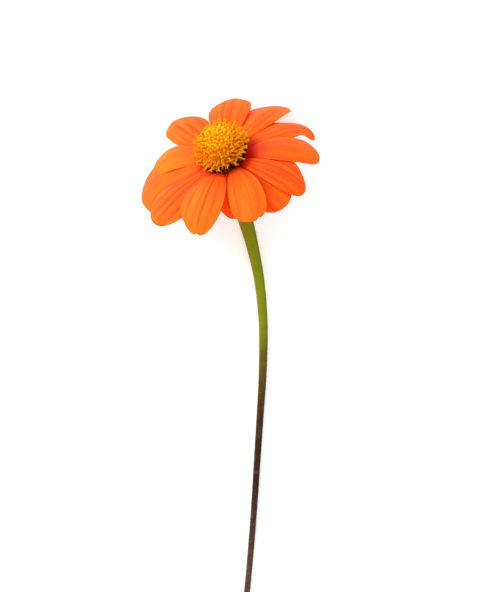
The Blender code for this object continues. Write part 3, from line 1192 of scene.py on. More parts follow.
class Scatter:
    """The geometry trees that set copies of a small shape in their places, each built once."""

    SHAKE_SEED = 11.0
    SIZE_SEED = 5.0
    COMMON = {
        "Shape": "Object", "Finish": "Material", "Smallest": "Float", "Largest": "Float",
        "Loose": "Float", "Spin": "Float", "Seed": "Int", "Toward": "Vector", "Past": "Float"}

    @classmethod
    def start(cls, name: str, inputs: dict[str, str]) -> tuple[Wiring, Outputs]:
        """Start a geometry tree with its own inputs and the common ones."""
        own = {"Geometry": "Geometry", **inputs, **cls.COMMON}
        return Wiring.start("GeometryNodeTree", name, own, {"Geometry": "Geometry"})

    @staticmethod
    def finish(wiring: Wiring, given: Outputs, points: Term, outward: Term) -> bpy.types.NodeTree:
        """Set a copy of the shape on each point that lies at least Past along Toward.

        Each copy leans at random by Loose and is turned at random about its own axis.

        Args:
            wiring: The tree's wiring.
            given: The tree's inputs.
            points: The points that the copies stand on.
            outward: Which way each copy points.

        Returns:
            The finished tree.
        """
        seed, draw = given["Seed"], "FunctionNodeRandomValue"
        side = wiring.add("ShaderNodeVectorMath", {
            0: wiring.add("GeometryNodeInputPosition")[0], 1: given["Toward"]},
            operation="DOT_PRODUCT")["Value"]
        kept = wiring.add("GeometryNodeDeleteGeometry", {
            0: points, 1: wiring.math("LESS_THAN", side, given["Past"])})[0]
        shape = wiring.add("GeometryNodeObjectInfo", {"Object": given["Shape"]},
                           transform_space="ORIGINAL")["Geometry"]
        shake = wiring.add(draw, {
            0: (-1.0, -1.0, -1.0), 1: (1.0, 1.0, 1.0), "Seed": seed + Scatter.SHAKE_SEED},
            data_type="FLOAT_VECTOR")[0]
        twist = wiring.add(draw, {3: tau, "Seed": seed}, data_type="FLOAT")[1]
        size = wiring.add(draw, {
            2: given["Smallest"], 3: given["Largest"], "Seed": seed + Scatter.SIZE_SEED},
            data_type="FLOAT")[1]
        aim = wiring.vector("ADD", wiring.vector("NORMALIZE", outward),
                            wiring.scaled(shake, given["Loose"]))
        aimed = wiring.add("FunctionNodeAlignRotationToVector", {"Vector": aim}, axis="Z")[0]
        spin = wiring.add("FunctionNodeAxisAngleToRotation", {
            "Axis": (0.0, 0.0, 1.0), "Angle": twist * given["Spin"]})[0]
        turn = wiring.add("FunctionNodeRotateRotation", {0: aimed, 1: spin},
                          rotation_space="LOCAL")[0]
        copies = wiring.add("GeometryNodeInstanceOnPoints", {
            "Points": kept, "Instance": shape, "Rotation": turn, "Scale": size})[0]
        plain = wiring.add("GeometryNodeRealizeInstances", {0: copies})[0]
        wiring.add("NodeGroupOutput", {0: wiring.add("GeometryNodeSetMaterial", {
            0: plain, "Material": given["Finish"]})[0]})
        return wiring.tree

    @staticmethod
    @cache
    def on_dome() -> bpy.types.NodeTree:
        """Build the tree that sets copies over a dome in a sunflower spiral.

        First and Last pick the seats out of Total, Sunk is how deep a copy's foot stands in the
        dome, and Upright turns the copies from the dome's own normal towards its axis.

        Returns:
            The tree.
        """
        wiring, given = Scatter.start("spiral on a dome", {
            **dict.fromkeys(("First", "Last", "Total"), "Int"),
            **dict.fromkeys(("Radius", "Half height", "Middle", "Top", "Lowest", "Sunk", "Shift",
                             "Upright"), "Float")})
        place = wiring.add("GeometryNodeInputIndex")[0] + given["First"] + given["Shift"]
        height = given["Top"] - place / given["Total"] * (given["Top"] - given["Lowest"])
        share = (height - given["Middle"]) / given["Half height"]
        inner = wiring.math("MAXIMUM", 1.0 - share * share, 0.0)
        reach = given["Radius"] * wiring.math("SQRT", inner)
        lean = reach / (given["Radius"] * given["Radius"])
        angle = place * GOLDEN_ANGLE
        across, deep = wiring.math("COSINE", angle), wiring.math("SINE", angle)
        outward = wiring.vector("NORMALIZE", wiring.point(
            across * lean, deep * lean, share / given["Half height"]))
        seat = wiring.vector("SUBTRACT", wiring.point(across * reach, deep * reach, height),
                             wiring.scaled(outward, given["Sunk"]))
        points = wiring.add("GeometryNodePoints", {
            "Count": given["Last"] - given["First"], "Position": seat})[0]
        aim = wiring.vector("ADD", outward, wiring.point(0.0, 0.0, given["Upright"]))
        return Scatter.finish(wiring, given, points, aim)

    @staticmethod
    @cache
    def in_ring() -> bpy.types.NodeTree:
        """Build the tree that sets copies in a level ring, leaning outwards.

        Returns:
            The tree.
        """
        wiring, given = Scatter.start("ring about the axis", {
            "Count": "Int", **dict.fromkeys(("Radius", "Height", "Lean", "Shift"), "Float")})
        step = wiring.add("GeometryNodeInputIndex")[0] + given["Shift"]
        angle = step / given["Count"] * tau
        across, deep = wiring.math("COSINE", angle), wiring.math("SINE", angle)
        lean = wiring.math("TANGENT", given["Lean"])
        seat = wiring.point(across * given["Radius"], deep * given["Radius"], given["Height"])
        points = wiring.add("GeometryNodePoints", {"Count": given["Count"], "Position": seat})[0]
        outward = wiring.point(across * lean, deep * lean, 1.0)
        return Scatter.finish(wiring, given, points, outward)

    @staticmethod
    @cache
    def as_down() -> bpy.types.NodeTree:
        """Build the tree that sets short hairs over a surface, above its clear height.

        Returns:
            The tree.
        """
        wiring, given = Scatter.start("down on a surface", {
            "Density": "Float", "Clear height": "Float"})
        spots = wiring.add("GeometryNodeDistributePointsOnFaces", {
            "Mesh": given["Geometry"], "Density": given["Density"], "Seed": given["Seed"]})
        stored = wiring.add("GeometryNodeStoreNamedAttribute", {
            0: spots["Points"], "Name": "outward", "Value": spots["Normal"]},
            data_type="FLOAT_VECTOR", domain="POINT")[0]
        place = wiring.add("GeometryNodeInputPosition")[0]
        height = wiring.add("ShaderNodeSeparateXYZ", {0: place})[2]
        kept = wiring.add("GeometryNodeDeleteGeometry", {
            0: stored, 1: wiring.math("LESS_THAN", height, given["Clear height"])})[0]
        outward = wiring.add("GeometryNodeInputNamedAttribute", {"Name": "outward"},
                             data_type="FLOAT_VECTOR")[0]
        return Scatter.finish(wiring, given, kept, outward)

    @staticmethod
    def make(name: str, tree: bpy.types.NodeTree, values: dict[str, object], placed: Matrix,
             base: bpy.types.Mesh | None = None) -> bpy.types.Object:
        """Run a tree and keep its result as a plain mesh object at the origin.

        Args:
            name: The piece's name.
            tree: The geometry tree.
            values: The tree's input values, by name.
            placed: What takes the result's lengths to the frame.
            base: The mesh that the tree starts from, where it needs one.

        Returns:
            The finished object.
        """
        blank = linked(name + "_blank", base or bpy.data.meshes.new(name + "_blank"))
        modifier = blank.modifiers.new("Copies", "NODES")
        modifier.node_group = tree
        sockets = {item.name: item.identifier
                   for item in tree.interface.items_tree if item.in_out == "INPUT"}
        for label, value in values.items():
            modifier[sockets[label]] = value
        bpy.context.view_layer.update()
        graph = bpy.context.evaluated_depsgraph_get()
        mesh = bpy.data.meshes.new_from_object(blank.evaluated_get(graph), depsgraph=graph)
        bpy.data.objects.remove(blank, do_unlink=True)
        mesh.name = name
        mesh.transform(placed)
        return linked(name, mesh)


@dataclass
class DiscFlorets:
    """The dome of disc florets: buds at its middle, then opening and open florets to its rim.

    Lengths are millimetres in the head's own frame. upright turns the florets up towards the
    head's axis, so that the pales below them show. openness is the radius and the height of an
    opening and of an open corolla. A tube's ring is its radius under the lobes and under the
    notches between them, and its share of the height. lobes are the rings from there out and back
    in: how far out the lobes and the notches reach, and how far each lies below the top.
    """

    pose: HeadPose
    radius: float = 7.5
    half_height: float = 6.7
    middle: float = 5.8
    foot_radius: float = 7.1
    foot: float = -1.7
    lowest: float = 2.6
    total: int = 300
    buds: int = 60
    opening: int = 104
    sides: int = 10
    core_sides: int = 64
    core_steps: int = 4
    dome_steps: int = 14
    core_tip: float = 0.05
    upright: float = 0.45
    loose: float = 0.22
    lip: float = 0.36
    openness: tuple[tuple[float, float], ...] = ((0.5, 2.4), (0.72, 2.2))
    lobes: tuple[tuple[float, float, float, float], ...] = (
        (0.84, 1.0, 0.16, 0.5), (1.0, 0.96, 0.0, 0.4), (0.7, 0.8, 0.04, 0.34))
    tube: Profile = ((0.26, 0.26, 0.0), (0.3, 0.3, 0.45), (0.42, 0.38, 0.75))
    throat_radius: float = 0.24
    throat_depth: float = 0.75
    corolla_shares: tuple[float, ...] = (0.0, 0.3, 0.55, 0.8, 0.95, 0.85, 0.3)
    bud_groove: float = 0.88
    prong_bend: float = 2.3
    prong_foot: float = 3.1
    prong_rise: float = 1.2
    prong_out: float = 0.1
    prong_spread: float = 0.3
    prong_radius: float = 0.25
    prong_taper: float = 0.08
    prong_dip: float = 0.25
    prong_rings: int = 6
    prong_sides: int = 5
    style_sides: int = 6
    scale_sides: int = 6
    scale_flat: float = 0.5
    shaded_side: tuple[float, float, float] = (0.6, -0.8, 0.0)
    all_round: float = -100.0
    shade_tint_width: float = 1.4
    bud_profile: Profile = (
        (0.34, 0.0, 0.4), (0.44, 0.7, 0.7), (0.56, 1.35, 0.9), (0.5, 1.8, 1.0), (0.22, 2.1, 1.0))
    style_profile: Profile = (
        (0.22, 0.8, 0.1), (0.3, 1.8, 0.35), (0.35, 2.8, 0.6), (0.34, 3.3, 0.75), (0.18, 3.5, 0.8))
    scale_profile: Profile = ((0.26, 0.0, 0.0), (0.3, 1.2, 0.3), (0.2, 2.3, 0.7), (0.03, 3.1, 1.0))
    core_finish: FloretFinish = FloretFinish(
        "disc core", roughness=0.7, specular=0.05, foot=linear(180, 56, 4),
        throat=linear(255, 132, 0), tip=linear(255, 190, 0), turn_low=0.3, turn_high=0.8)
    corolla_finish: FloretFinish = FloretFinish(
        "floret gold", roughness=0.5, specular=0.1, glow_through=0.08, glow_depth=0.6)
    bud_finish: FloretFinish = FloretFinish(
        "bud yellow", roughness=0.5, specular=0.1, glow_through=0.08, glow_depth=0.6,
        foot=linear(255, 172, 0), throat=linear(255, 182, 0), tip=linear(254, 184, 0),
        turn_low=0.4, turn_high=0.85, shade_tint_share=0.3)
    style_finish: FloretFinish = FloretFinish(
        "style yellow", roughness=0.55, specular=0.1, glow_through=0.08, glow_depth=0.6,
        foot=linear(255, 144, 0), throat=linear(255, 174, 0), tip=linear(250, 156, 0),
        turn_low=0.3, turn_high=0.75)
    scale_finish: FloretFinish = FloretFinish(
        "scale brown", roughness=0.55, specular=0.2, foot=linear(150, 84, 10),
        throat=linear(96, 40, 8), tip=linear(44, 14, 6))

    def core(self) -> bpy.types.Object:
        """Make the core that the florets stand on.

        Returns:
            The core.
        """
        steps, dome = self.core_steps, self.dome_steps
        heights = [self.lowest + (self.middle - self.lowest) * step / steps
                   for step in range(steps)]
        heights += [self.middle + self.half_height * sin(pi / 2 * step / dome)
                    for step in range(dome + 1)]
        rings = [ring(self.foot_radius, self.foot, self.core_sides)]
        for height in heights[:-1]:
            share = (height - self.middle) / self.half_height
            rings.append(ring(self.radius * (1 - share ** 2) ** 0.5, height, self.core_sides))
        rings.append(ring(self.core_tip, heights[-1], self.core_sides))
        points, faces, _ = loft(rings, list(np.linspace(0, 1, len(rings))))
        reach = np.clip((points[:, 2] - self.foot) / (self.half_height + self.middle), 0, 1)
        return make_object("disc_core", points, faces, self.pose.head(), self.core_finish,
                           {"reach": reach})

    def corolla(self, stage: FloretStage) -> bpy.types.Object:
        """Make one corolla: a slender tube that flares into five pointed lobes, or a closed bud.

        Args:
            stage: How far open the floret is.

        Returns:
            The shape that a tree copies.
        """
        even, count = np.arange(self.sides) % 2 == 0, self.sides
        if stage is FloretStage.BUD:
            rings = [ring(np.where(even, radius, radius * self.bud_groove), height, count)
                     for radius, height, _ in self.bud_profile]
            shares = [share for *_, share in self.bud_profile]
            return shape_object("bud_shape", *loft(rings, shares))
        opening, opened = self.openness
        wide, top = opened if stage is FloretStage.OPEN else opening
        rings = [ring(np.where(even, lobe, notch), top * share, count)
                 for lobe, notch, share in self.tube]
        for out, neck, tip_drop, valley_drop in self.lobes:
            lobe = ring(np.where(even, wide * out, self.lip * neck), 0.0, count)
            lobe[:, 2] = np.where(even, top - tip_drop, top - valley_drop)
            rings.append(lobe)
        rings.append(ring(self.throat_radius, top - self.throat_depth, count))
        return shape_object(stage.value + "_shape", *loft(rings, list(self.corolla_shares)))

    def style(self) -> bpy.types.Object:
        """Make the finger of a floret: a column that ends in two prongs curled apart.

        Returns:
            The shape that a tree copies.
        """
        parts = [turned(self.style_profile, self.style_sides)]
        shares = list(np.linspace(0, 1, self.prong_rings))
        for way in (1.0, -1.0):
            rings = []
            for share in shares:
                bend = share * self.prong_bend
                climb = sin(min(bend, pi / 2)) - self.prong_dip * max(0.0, bend - pi / 2)
                aside = self.prong_out + self.prong_spread * (1 - cos(bend))
                centre = np.array([way * aside, 0.0, self.prong_foot + self.prong_rise * climb])
                radius = self.prong_radius - self.prong_taper * share
                rings.append(ring(radius, 0.0, self.prong_sides) + centre)
            parts.append(loft(rings, [0.8 + 0.2 * share for share in shares]))
        starts = np.cumsum([0, *(len(points) for points, *_ in parts)])
        faces = [[corner + int(start) for corner in face]
                 for (_, faces, _), start in zip(parts, starts) for face in faces]
        return shape_object("style_shape", np.concatenate([points for points, *_ in parts]), faces,
                            np.concatenate([reach for *_, reach in parts]))

    def scatter(self, name: str, shape: bpy.types.Object, finish: Finish, seats: tuple[int, int],
                sunk: float, sizes: tuple[float, float], seed: int,
                **changes: object) -> bpy.types.Object:
        """Set copies of one shape on the dome.

        Args:
            name: The piece's name.
            shape: What is copied.
            finish: The copies' finish.
            seats: The first seat of the spiral and the one after the last.
            sunk: How deep the copies' feet stand in the core.
            sizes: The smallest and the largest copy.
            seed: Where their small differences come from.
            changes: Any other of the tree's inputs that isn't as usual.

        Returns:
            The finished piece.
        """
        return Scatter.make(name, Scatter.on_dome(), {
            "First": seats[0], "Last": seats[1], "Total": self.total, "Radius": self.radius,
            "Half height": self.half_height, "Middle": self.middle,
            "Top": self.middle + self.half_height, "Lowest": self.lowest, "Sunk": sunk,
            "Shift": 0.5, "Shape": shape, "Finish": finish.material(), "Smallest": sizes[0],
            "Largest": sizes[1], "Loose": self.loose, "Spin": 1.0, "Seed": seed,
            "Toward": self.shaded_side, "Past": self.all_round, "Upright": self.upright, **changes},
            self.pose.head())

    def tint_shaded_side(self, piece: bpy.types.Object) -> None:
        """Write how far round to the shaded side each vertex lies, 0 to 1, as the number that
        paints shade there.

        Args:
            piece: The piece that carries it.
        """
        inward = np.array(self.pose.head().inverted())
        local = mesh_points(piece.data) @ inward[:3, :3].T + inward[:3, 3]
        share = (local @ np.array(self.shaded_side) / self.radius + 0.5) / self.shade_tint_width
        carry(piece.data, {"shade_tint": np.clip(share, 0, 1)})

    def build(self) -> list[bpy.types.Object]:
        """Make the core, the corollas of each stage, the styles and the scales between.

        Returns:
            The disc's pieces.
        """
        bud, opening, opened = (self.corolla(stage) for stage in FloretStage)
        style, scale = self.style(), shape_object("scale_shape", *turned(
            self.scale_profile, self.scale_sides, self.scale_flat))
        closed, half_open = (0, self.buds), (self.buds, self.opening)
        open_seats, outer_seats = (self.opening, self.total), (self.total // 2, self.total)
        scatter = self.scatter
        pieces = [
            self.core(),
            scatter("disc_buds", bud, self.bud_finish, closed, 0.35, (0.9, 1.25), 1),
            scatter("disc_florets_opening", opening, self.bud_finish, half_open, 0.2, (1.0, 1.3),
                    2),
            scatter("disc_florets_open", opened, self.corolla_finish, open_seats, 0.4, (0.8, 1.15),
                    3),
            scatter("disc_styles_short", style, self.style_finish, half_open, 1.3, (0.7, 0.95), 5),
            scatter("disc_styles", style, self.style_finish, open_seats, 0.5, (0.62, 1.28), 6),
            # Dark chaff set only on the shaded side of the disc, so it partly stands for painted
            # shade there.
            scatter("disc_scales", scale, self.scale_finish, outer_seats, 0.3, (0.8, 1.1), 8,
                    Shift=0.0, Past=2.5)]
        for shape in (bud, opening, opened, style, scale):
            bpy.data.objects.remove(shape, do_unlink=True)
        for piece in pieces:
            self.tint_shaded_side(piece)
            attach(piece, BODY)
            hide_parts("disc_florets")
        log.info("disc florets: %d", self.total)
        return pieces


@dataclass(frozen=True)
class PaleRing:
    """One ring of pales: how many, how far out, how many degrees they lean, how large they are.

    Only those that lie past this many millimetres towards the pales' side stand.
    """

    count: int
    radius: float
    lean: float
    smallest: float
    largest: float
    past: float


@dataclass
class Cup:
    """The receptacle with its pales, and the two rows of bracts that cup it.

    Lengths are millimetres in the head's own frame, and a place on the wall is a share of its
    length. end_radius is how far the receptacle's two flat ends close in.
    """

    pose: HeadPose
    wall_foot_radius: float = 4.0
    wall_foot: float = -8.8
    wall_length: float = 9.4
    wall_slope: float = radians(20)
    wall_swell: float = radians(66)
    shelf: float = -1.75
    pale_foot: float = -0.7
    clearance: float = 0.3
    bract_thickness: float = 0.62
    bract_start: float = 0.12
    bract_foot: float = 0.75
    bract_foot_end: float = 0.25
    taper_from: float = 0.45
    taper_length: float = 0.6
    bract_thinned: float = 0.8
    end_radius: float = 0.05
    wall_inset: float = 0.02
    shelf_inset: float = 0.2
    pale_lean: float = 0.12
    pale_sides: int = 8
    pale_flat: float = 0.6
    pale_seed: int = 20
    inner_end: float = 0.93
    outer_end: float = 0.8
    spread: float = radians(54)
    keel: float = 0.1
    sides: int = 72
    rows: int = 30
    columns: int = 17
    pale_side: tuple[float, float, float] = (0.5, -0.87, 0.0)
    pale_rings: tuple[PaleRing, ...] = (
        PaleRing(34, 8.3, 16, 0.8, 1.1, -6.0), PaleRing(28, 8.7, 30, 0.75, 1.0, 1.0),
        PaleRing(26, 7.8, 8, 0.8, 1.0, -9.0), PaleRing(34, 9.0, 42, 0.65, 0.95, 3.0))
    pale_profile: Profile = (
        (0.3, 0.0, 0.0), (0.37, 1.0, 0.2), (0.32, 2.4, 0.45), (0.2, 3.8, 0.75), (0.08, 5.0, 0.95),
        (0.01, 5.8, 1.0))
    receptacle_finish: FloretFinish = FloretFinish(
        "receptacle", roughness=0.8, specular=0.03, foot=linear(84, 100, 36),
        throat=linear(84, 80, 26), tip=linear(110, 36, 6), shade_tint_share=0.0)
    pale_finish: FloretFinish = FloretFinish(
        "pale brown", roughness=0.7, specular=0.03, foot=linear(96, 66, 12),
        throat=linear(70, 34, 6), tip=linear(22, 7, 3), turn_low=0.25, turn_high=0.6, shade_tint_share=0.0)
    inner_finish: GreenFinish = GreenFinish(
        "inner bract", roughness=0.6, sheen=0.2, body=linear(150, 156, 84))
    outer_finish: GreenFinish = GreenFinish("outer bract", roughness=0.6, sheen=0.25)

    def wall(self, offset: float, steps: int = 240) -> np.ndarray:
        """Work out the cup's wall.

        Args:
            offset: How far out from it the line lies.
            steps: How many steps the wall is followed in.

        Returns:
            The radius and the height at even shares of the wall's length.
        """
        slope = self.wall_slope + self.wall_swell * np.sin(pi * np.linspace(0, 1, steps + 1))
        stride = self.wall_length / steps
        middle = (slope[1:] + slope[:-1]) / 2
        radius = self.wall_foot_radius + np.concatenate([[0], np.cumsum(np.cos(middle) * stride)])
        height = self.wall_foot + np.concatenate([[0], np.cumsum(np.sin(middle) * stride)])
        return np.stack([radius + np.sin(slope) * offset, height - np.cos(slope) * offset], -1)

    def receptacle(self) -> bpy.types.Object:
        """Make the solid base of the head.

        Returns:
            The receptacle's body.
        """
        wall = [(radius, height) for radius, height in self.wall(-self.wall_inset)[::10]
                if height < self.shelf]
        outline = [(self.end_radius, self.wall_foot), *wall,
                   (wall[-1][0] - self.shelf_inset, self.shelf), (self.end_radius, self.shelf)]
        rings = [ring(radius, height, self.sides) for radius, height in outline]
        points, faces, reach = loft(rings, list(np.linspace(0, 1, len(rings))))
        return make_object("receptacle_body", points, faces, self.pose.head(),
                           self.receptacle_finish, {"reach": reach})

    def pales(self) -> list[bpy.types.Object]:
        """Make the rings of pales, stiff narrow scales that stand round the disc's foot.

        Returns:
            One piece for each ring.
        """
        shape = shape_object("pale_shape", *turned(
            self.pale_profile, self.pale_sides, self.pale_flat))
        pieces = [Scatter.make(f"rim_pales_{number + 1}", Scatter.in_ring(), {
            "Shape": shape, "Finish": self.pale_finish.material(), "Loose": self.pale_lean,
            "Spin": 1.0, "Count": pales.count, "Radius": pales.radius, "Height": self.pale_foot,
            "Lean": radians(pales.lean), "Shift": 0.5 * number, "Smallest": pales.smallest,
            "Largest": pales.largest, "Seed": self.pale_seed + number, "Toward": self.pale_side,
            "Past": pales.past}, self.pose.head()) for number, pales in enumerate(self.pale_rings)]
        bpy.data.objects.remove(shape, do_unlink=True)
        return pieces

    def bract(self, name: str, turn: float, offset: float, end: float,
              finish: Finish) -> bpy.types.Object:
        """Make one bract, which follows the wall.

        Args:
            name: The piece's name.
            turn: Its place about the axis, in radians.
            offset: How far out from the wall it lies.
            end: How far up the wall it reaches.
            finish: Its finish.

        Returns:
            The bract.
        """
        wall = self.wall(offset)
        share = np.linspace(0, 1, self.rows)
        place = (self.bract_start + (end - self.bract_start) * share) * (len(wall) - 1)
        radius, height = (np.interp(place, np.arange(len(wall)), wall[:, axis])[:, None]
                          for axis in (0, 1))
        grown = np.minimum(1.0, share / self.bract_foot_end)
        foot = self.bract_foot + (1 - self.bract_foot) * grown
        gone = np.maximum(0.0, share - self.taper_from) / self.taper_length
        taper = np.sqrt(np.maximum(0.0, 1 - gone))
        across = np.linspace(-1, 1, self.columns)
        angle = turn + across * (self.spread / 2 * foot * taper)[:, None]
        out = radius + self.keel * (1 - across ** 2) * np.sin(pi * share)[:, None]
        grid = np.stack([out * np.cos(angle), out * np.sin(angle),
                         np.broadcast_to(height, angle.shape)], -1)
        thin = self.bract_thickness * self.bract_thinned * (1 - 0.5 * across ** 2)[None]
        thin = thin * np.ones((self.rows, 1))
        points, faces, sheet = closed_sheet(grid[:, ::-1], thin)
        return make_object(name, points, faces, self.pose.head(), finish, None, sheet)

    def build(self) -> list[bpy.types.Object]:
        """Make the receptacle, its pales and the bracts, fasten them to the body and hide the CAD
        receptacle and bracts.

        Returns:
            The cup's pieces.
        """
        pieces = [self.receptacle(), *self.pales()]
        for piece in pieces:
            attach(piece, BODY)
            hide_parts("receptacle")
        inner = self.clearance + self.bract_thickness / 2
        outer = inner + self.clearance + self.bract_thickness
        for index in range(BRACTS_IN_ROW):
            for row, shift, offset, end, finish in (
                    ("inner", 0.5, inner, self.inner_end, self.inner_finish),
                    ("outer", 0, outer, self.outer_end, self.outer_finish)):
                turn = tau * (index + shift) / BRACTS_IN_ROW
                piece = self.bract(f"{row}_bract_{index + 1}_green", turn, offset, end, finish)
                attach(piece, BODY)
                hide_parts(f"{row}_bract_{index + 1}")
                pieces.append(piece)
        log.info("cup: %d pieces", len(pieces))
        return pieces


@dataclass
class Stem:
    """The long bare stem, faintly ribbed and downy, from the cup to its cut end.

    The neck is heights along the head's axis with a radius for each, and a station is a point
    with its radius, in millimetres as the flower was modelled. cut_ring is how wide the flat cut
    face is, as a share of the stem, and a hair's ring is its radius, height and place sideways.
    """

    pose: HeadPose
    neck: tuple[tuple[float, float], ...] = ((-9.15, 4.2), (-12.65, 3.7), (-17.15, 3.35))
    stations: tuple[tuple[float, float, float, float], ...] = (
        (6.4, -17.5, 8.5, 3.2), (8.8, -26.0, 5.7, 2.95), (11.2, -35.0, 4.3, 2.5),
        (14.0, -49.0, 3.5, 2.05), (15.5, -66.0, 2.9, 1.83), (15.35, -84.5, 2.45, 1.65),
        (14.35, -101.5, 2.1, 1.46), (13.15, -120.0, 1.8, 1.38), (11.85, -140.0, 1.6, 1.3),
        (10.25, -160.0, 1.4, 1.24), (8.0, -184.0, 1.2, 1.2))
    samples: int = 20
    sides: int = 36
    ribs: int = 9
    rib_depth: float = 0.03
    slimmer: float = 0.03
    cut_ring: float = 0.86
    hairs_per_square_mm: float = 1.1
    hair_clear: float = 0.9
    cut_clear: float = 1.2
    hair_sizes: tuple[float, float] = (0.6, 1.2)
    hair_lean: float = 0.5
    hair_seed: int = 31
    hair: Profile = ((0.03, 0.0, 0.0), (0.022, 0.26, 0.04), (0.004, 0.5, 0.14))
    finish: StemFinish = StemFinish("stem green to brown", roughness=0.65, specular=0.06)
    hair_finish: FloretFinish = FloretFinish(
        "pale down", roughness=0.6, specular=0.1, foot=linear(140, 146, 84),
        throat=linear(190, 192, 140), tip=linear(222, 220, 184), shade_tint_share=0.0)

    def route(self) -> np.ndarray:
        """Run a smooth curve through the neck and the stations.

        Returns:
            The middle line with the radius, in millimetres before laying down.
        """
        upright = self.pose.flower().inverted() @ self.pose.head()
        neck = [(*(upright @ Vector((0.0, 0.0, height))), radius) for height, radius in self.neck]
        points = np.array([*neck, *self.stations])
        padded = np.concatenate([
            [points[0] * 2 - points[1]], points, [points[-1] * 2 - points[-2]]])
        route = []
        for before, start, end, after in zip(padded, padded[1:], padded[2:], padded[3:]):
            square = 2 * before - 5 * start + 4 * end - after
            cube = 3 * start - before - 3 * end + after
            route += [0.5 * (2 * start + (end - before) * t + square * t * t + cube * t ** 3)
                      for t in np.arange(self.samples) / self.samples]
        return np.array([*route, points[-1]])

    def skin(self) -> bpy.types.Object:
        """Make the ribbed tube with its cut face.

        Returns:
            The stem's skin.
        """
        route = self.route()
        middle, radius = route[:, :3], route[:, 3] - self.slimmer
        ahead = np.gradient(middle, axis=0)
        ahead /= np.linalg.norm(ahead, axis=1, keepdims=True)
        length = np.concatenate([[0], np.cumsum(np.linalg.norm(np.diff(middle, axis=0), axis=1))])
        angle = np.arange(self.sides) / self.sides * tau
        side = np.cross(ahead, (0.0, 0.0, 1.0))
        side /= np.linalg.norm(side, axis=1, keepdims=True)
        over = np.cross(side, ahead)
        rib = 1 - self.rib_depth * (0.5 - 0.5 * np.cos(angle * self.ribs))
        rings = [middle[i] + radius[i] * rib[:, None] * (
            np.cos(angle)[:, None] * side[i] + np.sin(angle)[:, None] * over[i])
            for i in range(len(middle))]
        rings.append(middle[-1] + (rings[-1] - middle[-1]) * self.cut_ring)
        points, faces, reach = loft(rings, [*(length / length[-1]), 1.0])
        around = np.concatenate([np.tile(angle / tau, len(rings)), [0.0, 0.0]])
        cut = np.zeros(len(points))
        cut[(len(rings) - 1) * self.sides:len(rings) * self.sides] = 1.0
        cut[-1] = 1.0
        return make_object("stem_skin", points, [face[::-1] for face in faces], self.pose.flower(),
                           self.finish, {"cut": cut}, np.stack([reach, around], -1))

    def down(self, skin: bpy.types.Object) -> bpy.types.Object:
        """Set short pale hairs on the skin, clear of what the stem lies on and of its cut end.

        Args:
            skin: The stem's finished skin.

        Returns:
            The hairs, as one piece.
        """
        rings = [(ring(radius, height, 3) + (aside, 0.0, 0.0)) * MM
                 for radius, height, aside in self.hair]
        shape = shape_object("hair_shape", *loft(rings, [0.0, 0.5, 1.0]))
        piece = Scatter.make("stem_down", Scatter.as_down(), {
            "Density": self.hairs_per_square_mm / MM ** 2, "Clear height": self.hair_clear * MM,
            "Shape": shape, "Finish": self.hair_finish.material(), "Smallest": self.hair_sizes[0],
            "Largest": self.hair_sizes[1], "Loose": self.hair_lean, "Spin": 1.0,
            "Seed": self.hair_seed, "Toward": (0.0, 1.0, 0.0),
            "Past": CAD_BOX[0][1] + self.cut_clear * MM}, Matrix.Identity(4), skin.data.copy())
        bpy.data.objects.remove(shape, do_unlink=True)
        return piece

    def build(self) -> list[bpy.types.Object]:
        """Make the stem and its down, fasten them to the body and hide the CAD stem.

        Returns:
            The two pieces.
        """
        skin = self.skin()
        pieces = [skin, self.down(skin)]
        for piece in pieces:
            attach(piece, BODY)
            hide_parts("stem")
            log.info("%s: %d faces", piece.name, len(piece.data.polygons))
        return pieces


@dataclass(frozen=True)
class Lamp:
    """A soft square lamp: where it hangs from the head and how wide, in metres, and its watts."""

    name: str
    place: tuple[float, float, float]
    size: float
    power: float


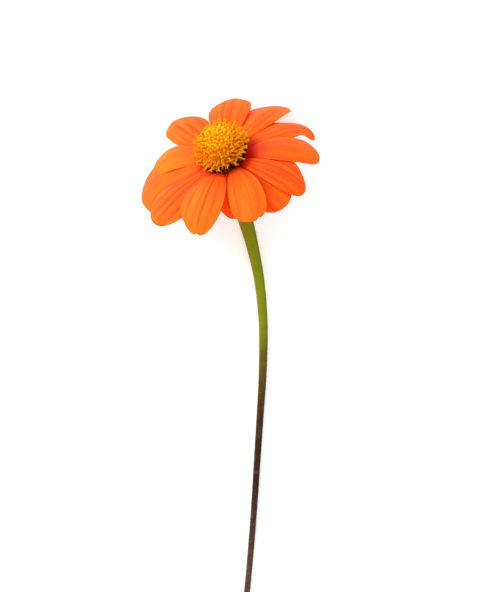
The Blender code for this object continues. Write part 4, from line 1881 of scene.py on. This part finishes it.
@dataclass
class Studio:
    """The pale floor, the soft lights and the camera that looks straight down.

    The camera sees the head at head_pixel of a picture of this size, as in the photo.
    """

    pose: HeadPose
    floor_size: float = 6.0
    head_pixel: tuple[float, float] = (224.2, 156.8)
    picture: tuple[float, float] = (500.0, 592.0)
    pixels_per_mm: float = 2.53
    camera_height: float = 5.0
    camera_range: float = 20.0
    film: float = 36.0
    surround: float = 0.78
    lamps: tuple[Lamp, ...] = (
        Lamp("key", (-0.6, 0.46, 0.56), 0.36, 5.6), Lamp("fill", (0.3, -0.4, 1.1), 1.2, 2.0))
    finish: FloorFinish = FloorFinish("pale floor", roughness=0.9, specular=0.1)

    def floor(self) -> bpy.types.Object:
        """Lay the floor under the flower.

        Returns:
            The floor.
        """
        half = self.floor_size / 2 / MM
        corners = np.array([(-half, -half, 0), (half, -half, 0), (half, half, 0), (-half, half, 0)],
                           float)
        floor = make_object("floor", corners, [[0, 1, 2, 3]], Matrix.Scale(MM, 4), self.finish)
        return floor

    def light(self, lamp: Lamp) -> None:
        """Hang a lamp that faces the head.

        Args:
            lamp: Its sizes.
        """
        data = bpy.data.lights.new(lamp.name, "AREA")
        data.size, data.energy = lamp.size, lamp.power
        hung = linked(lamp.name, data)
        target = self.pose.head().translation
        hung.location = target + Vector(lamp.place)
        hung.rotation_euler = (target - hung.location).to_track_quat("-Z", "Y").to_euler()

    def camera(self) -> None:
        """Set the camera over the flower, framed as the photo is."""
        data = bpy.data.cameras.new("camera")
        data.sensor_width, data.sensor_fit, data.clip_end = self.film, "AUTO", self.camera_range
        head = self.pose.head().translation
        metres = MM / self.pixels_per_mm
        data.lens = self.film * (self.camera_height - head.z) / (max(self.picture) * metres)
        across, down = ((size / 2 - pixel) * metres
                        for size, pixel in zip(self.picture, self.head_pixel))
        camera = linked("camera", data)
        camera.location = (head.x + across, head.y - down, self.camera_height)
        bpy.context.scene.camera = camera

    def build(self) -> None:
        """Set the stage: the floor, the lamps, the white surround and the camera."""
        self.floor()
        for lamp in self.lamps:
            self.light(lamp)
        world = bpy.data.worlds.new("studio")
        world.use_nodes = True
        Wiring(world.node_tree).feed(world.node_tree.nodes["Background"], {
            0: (1.0, 1.0, 1.0), 1: self.surround})
        bpy.context.scene.world = world
        bpy.context.scene.view_settings.view_transform = "Standard"
        self.camera()
        log.info("studio")


def main() -> None:
    """Build the flower's finished pieces around the frame, then the studio."""
    logging.basicConfig(level=logging.INFO)
    pose = HeadPose()
    RayPetals(pose).build()
    DiscFlorets(pose).build()
    Cup(pose).build()
    Stem(pose).build()
    Studio(pose).build()


if __name__ == "__main__":
    main()
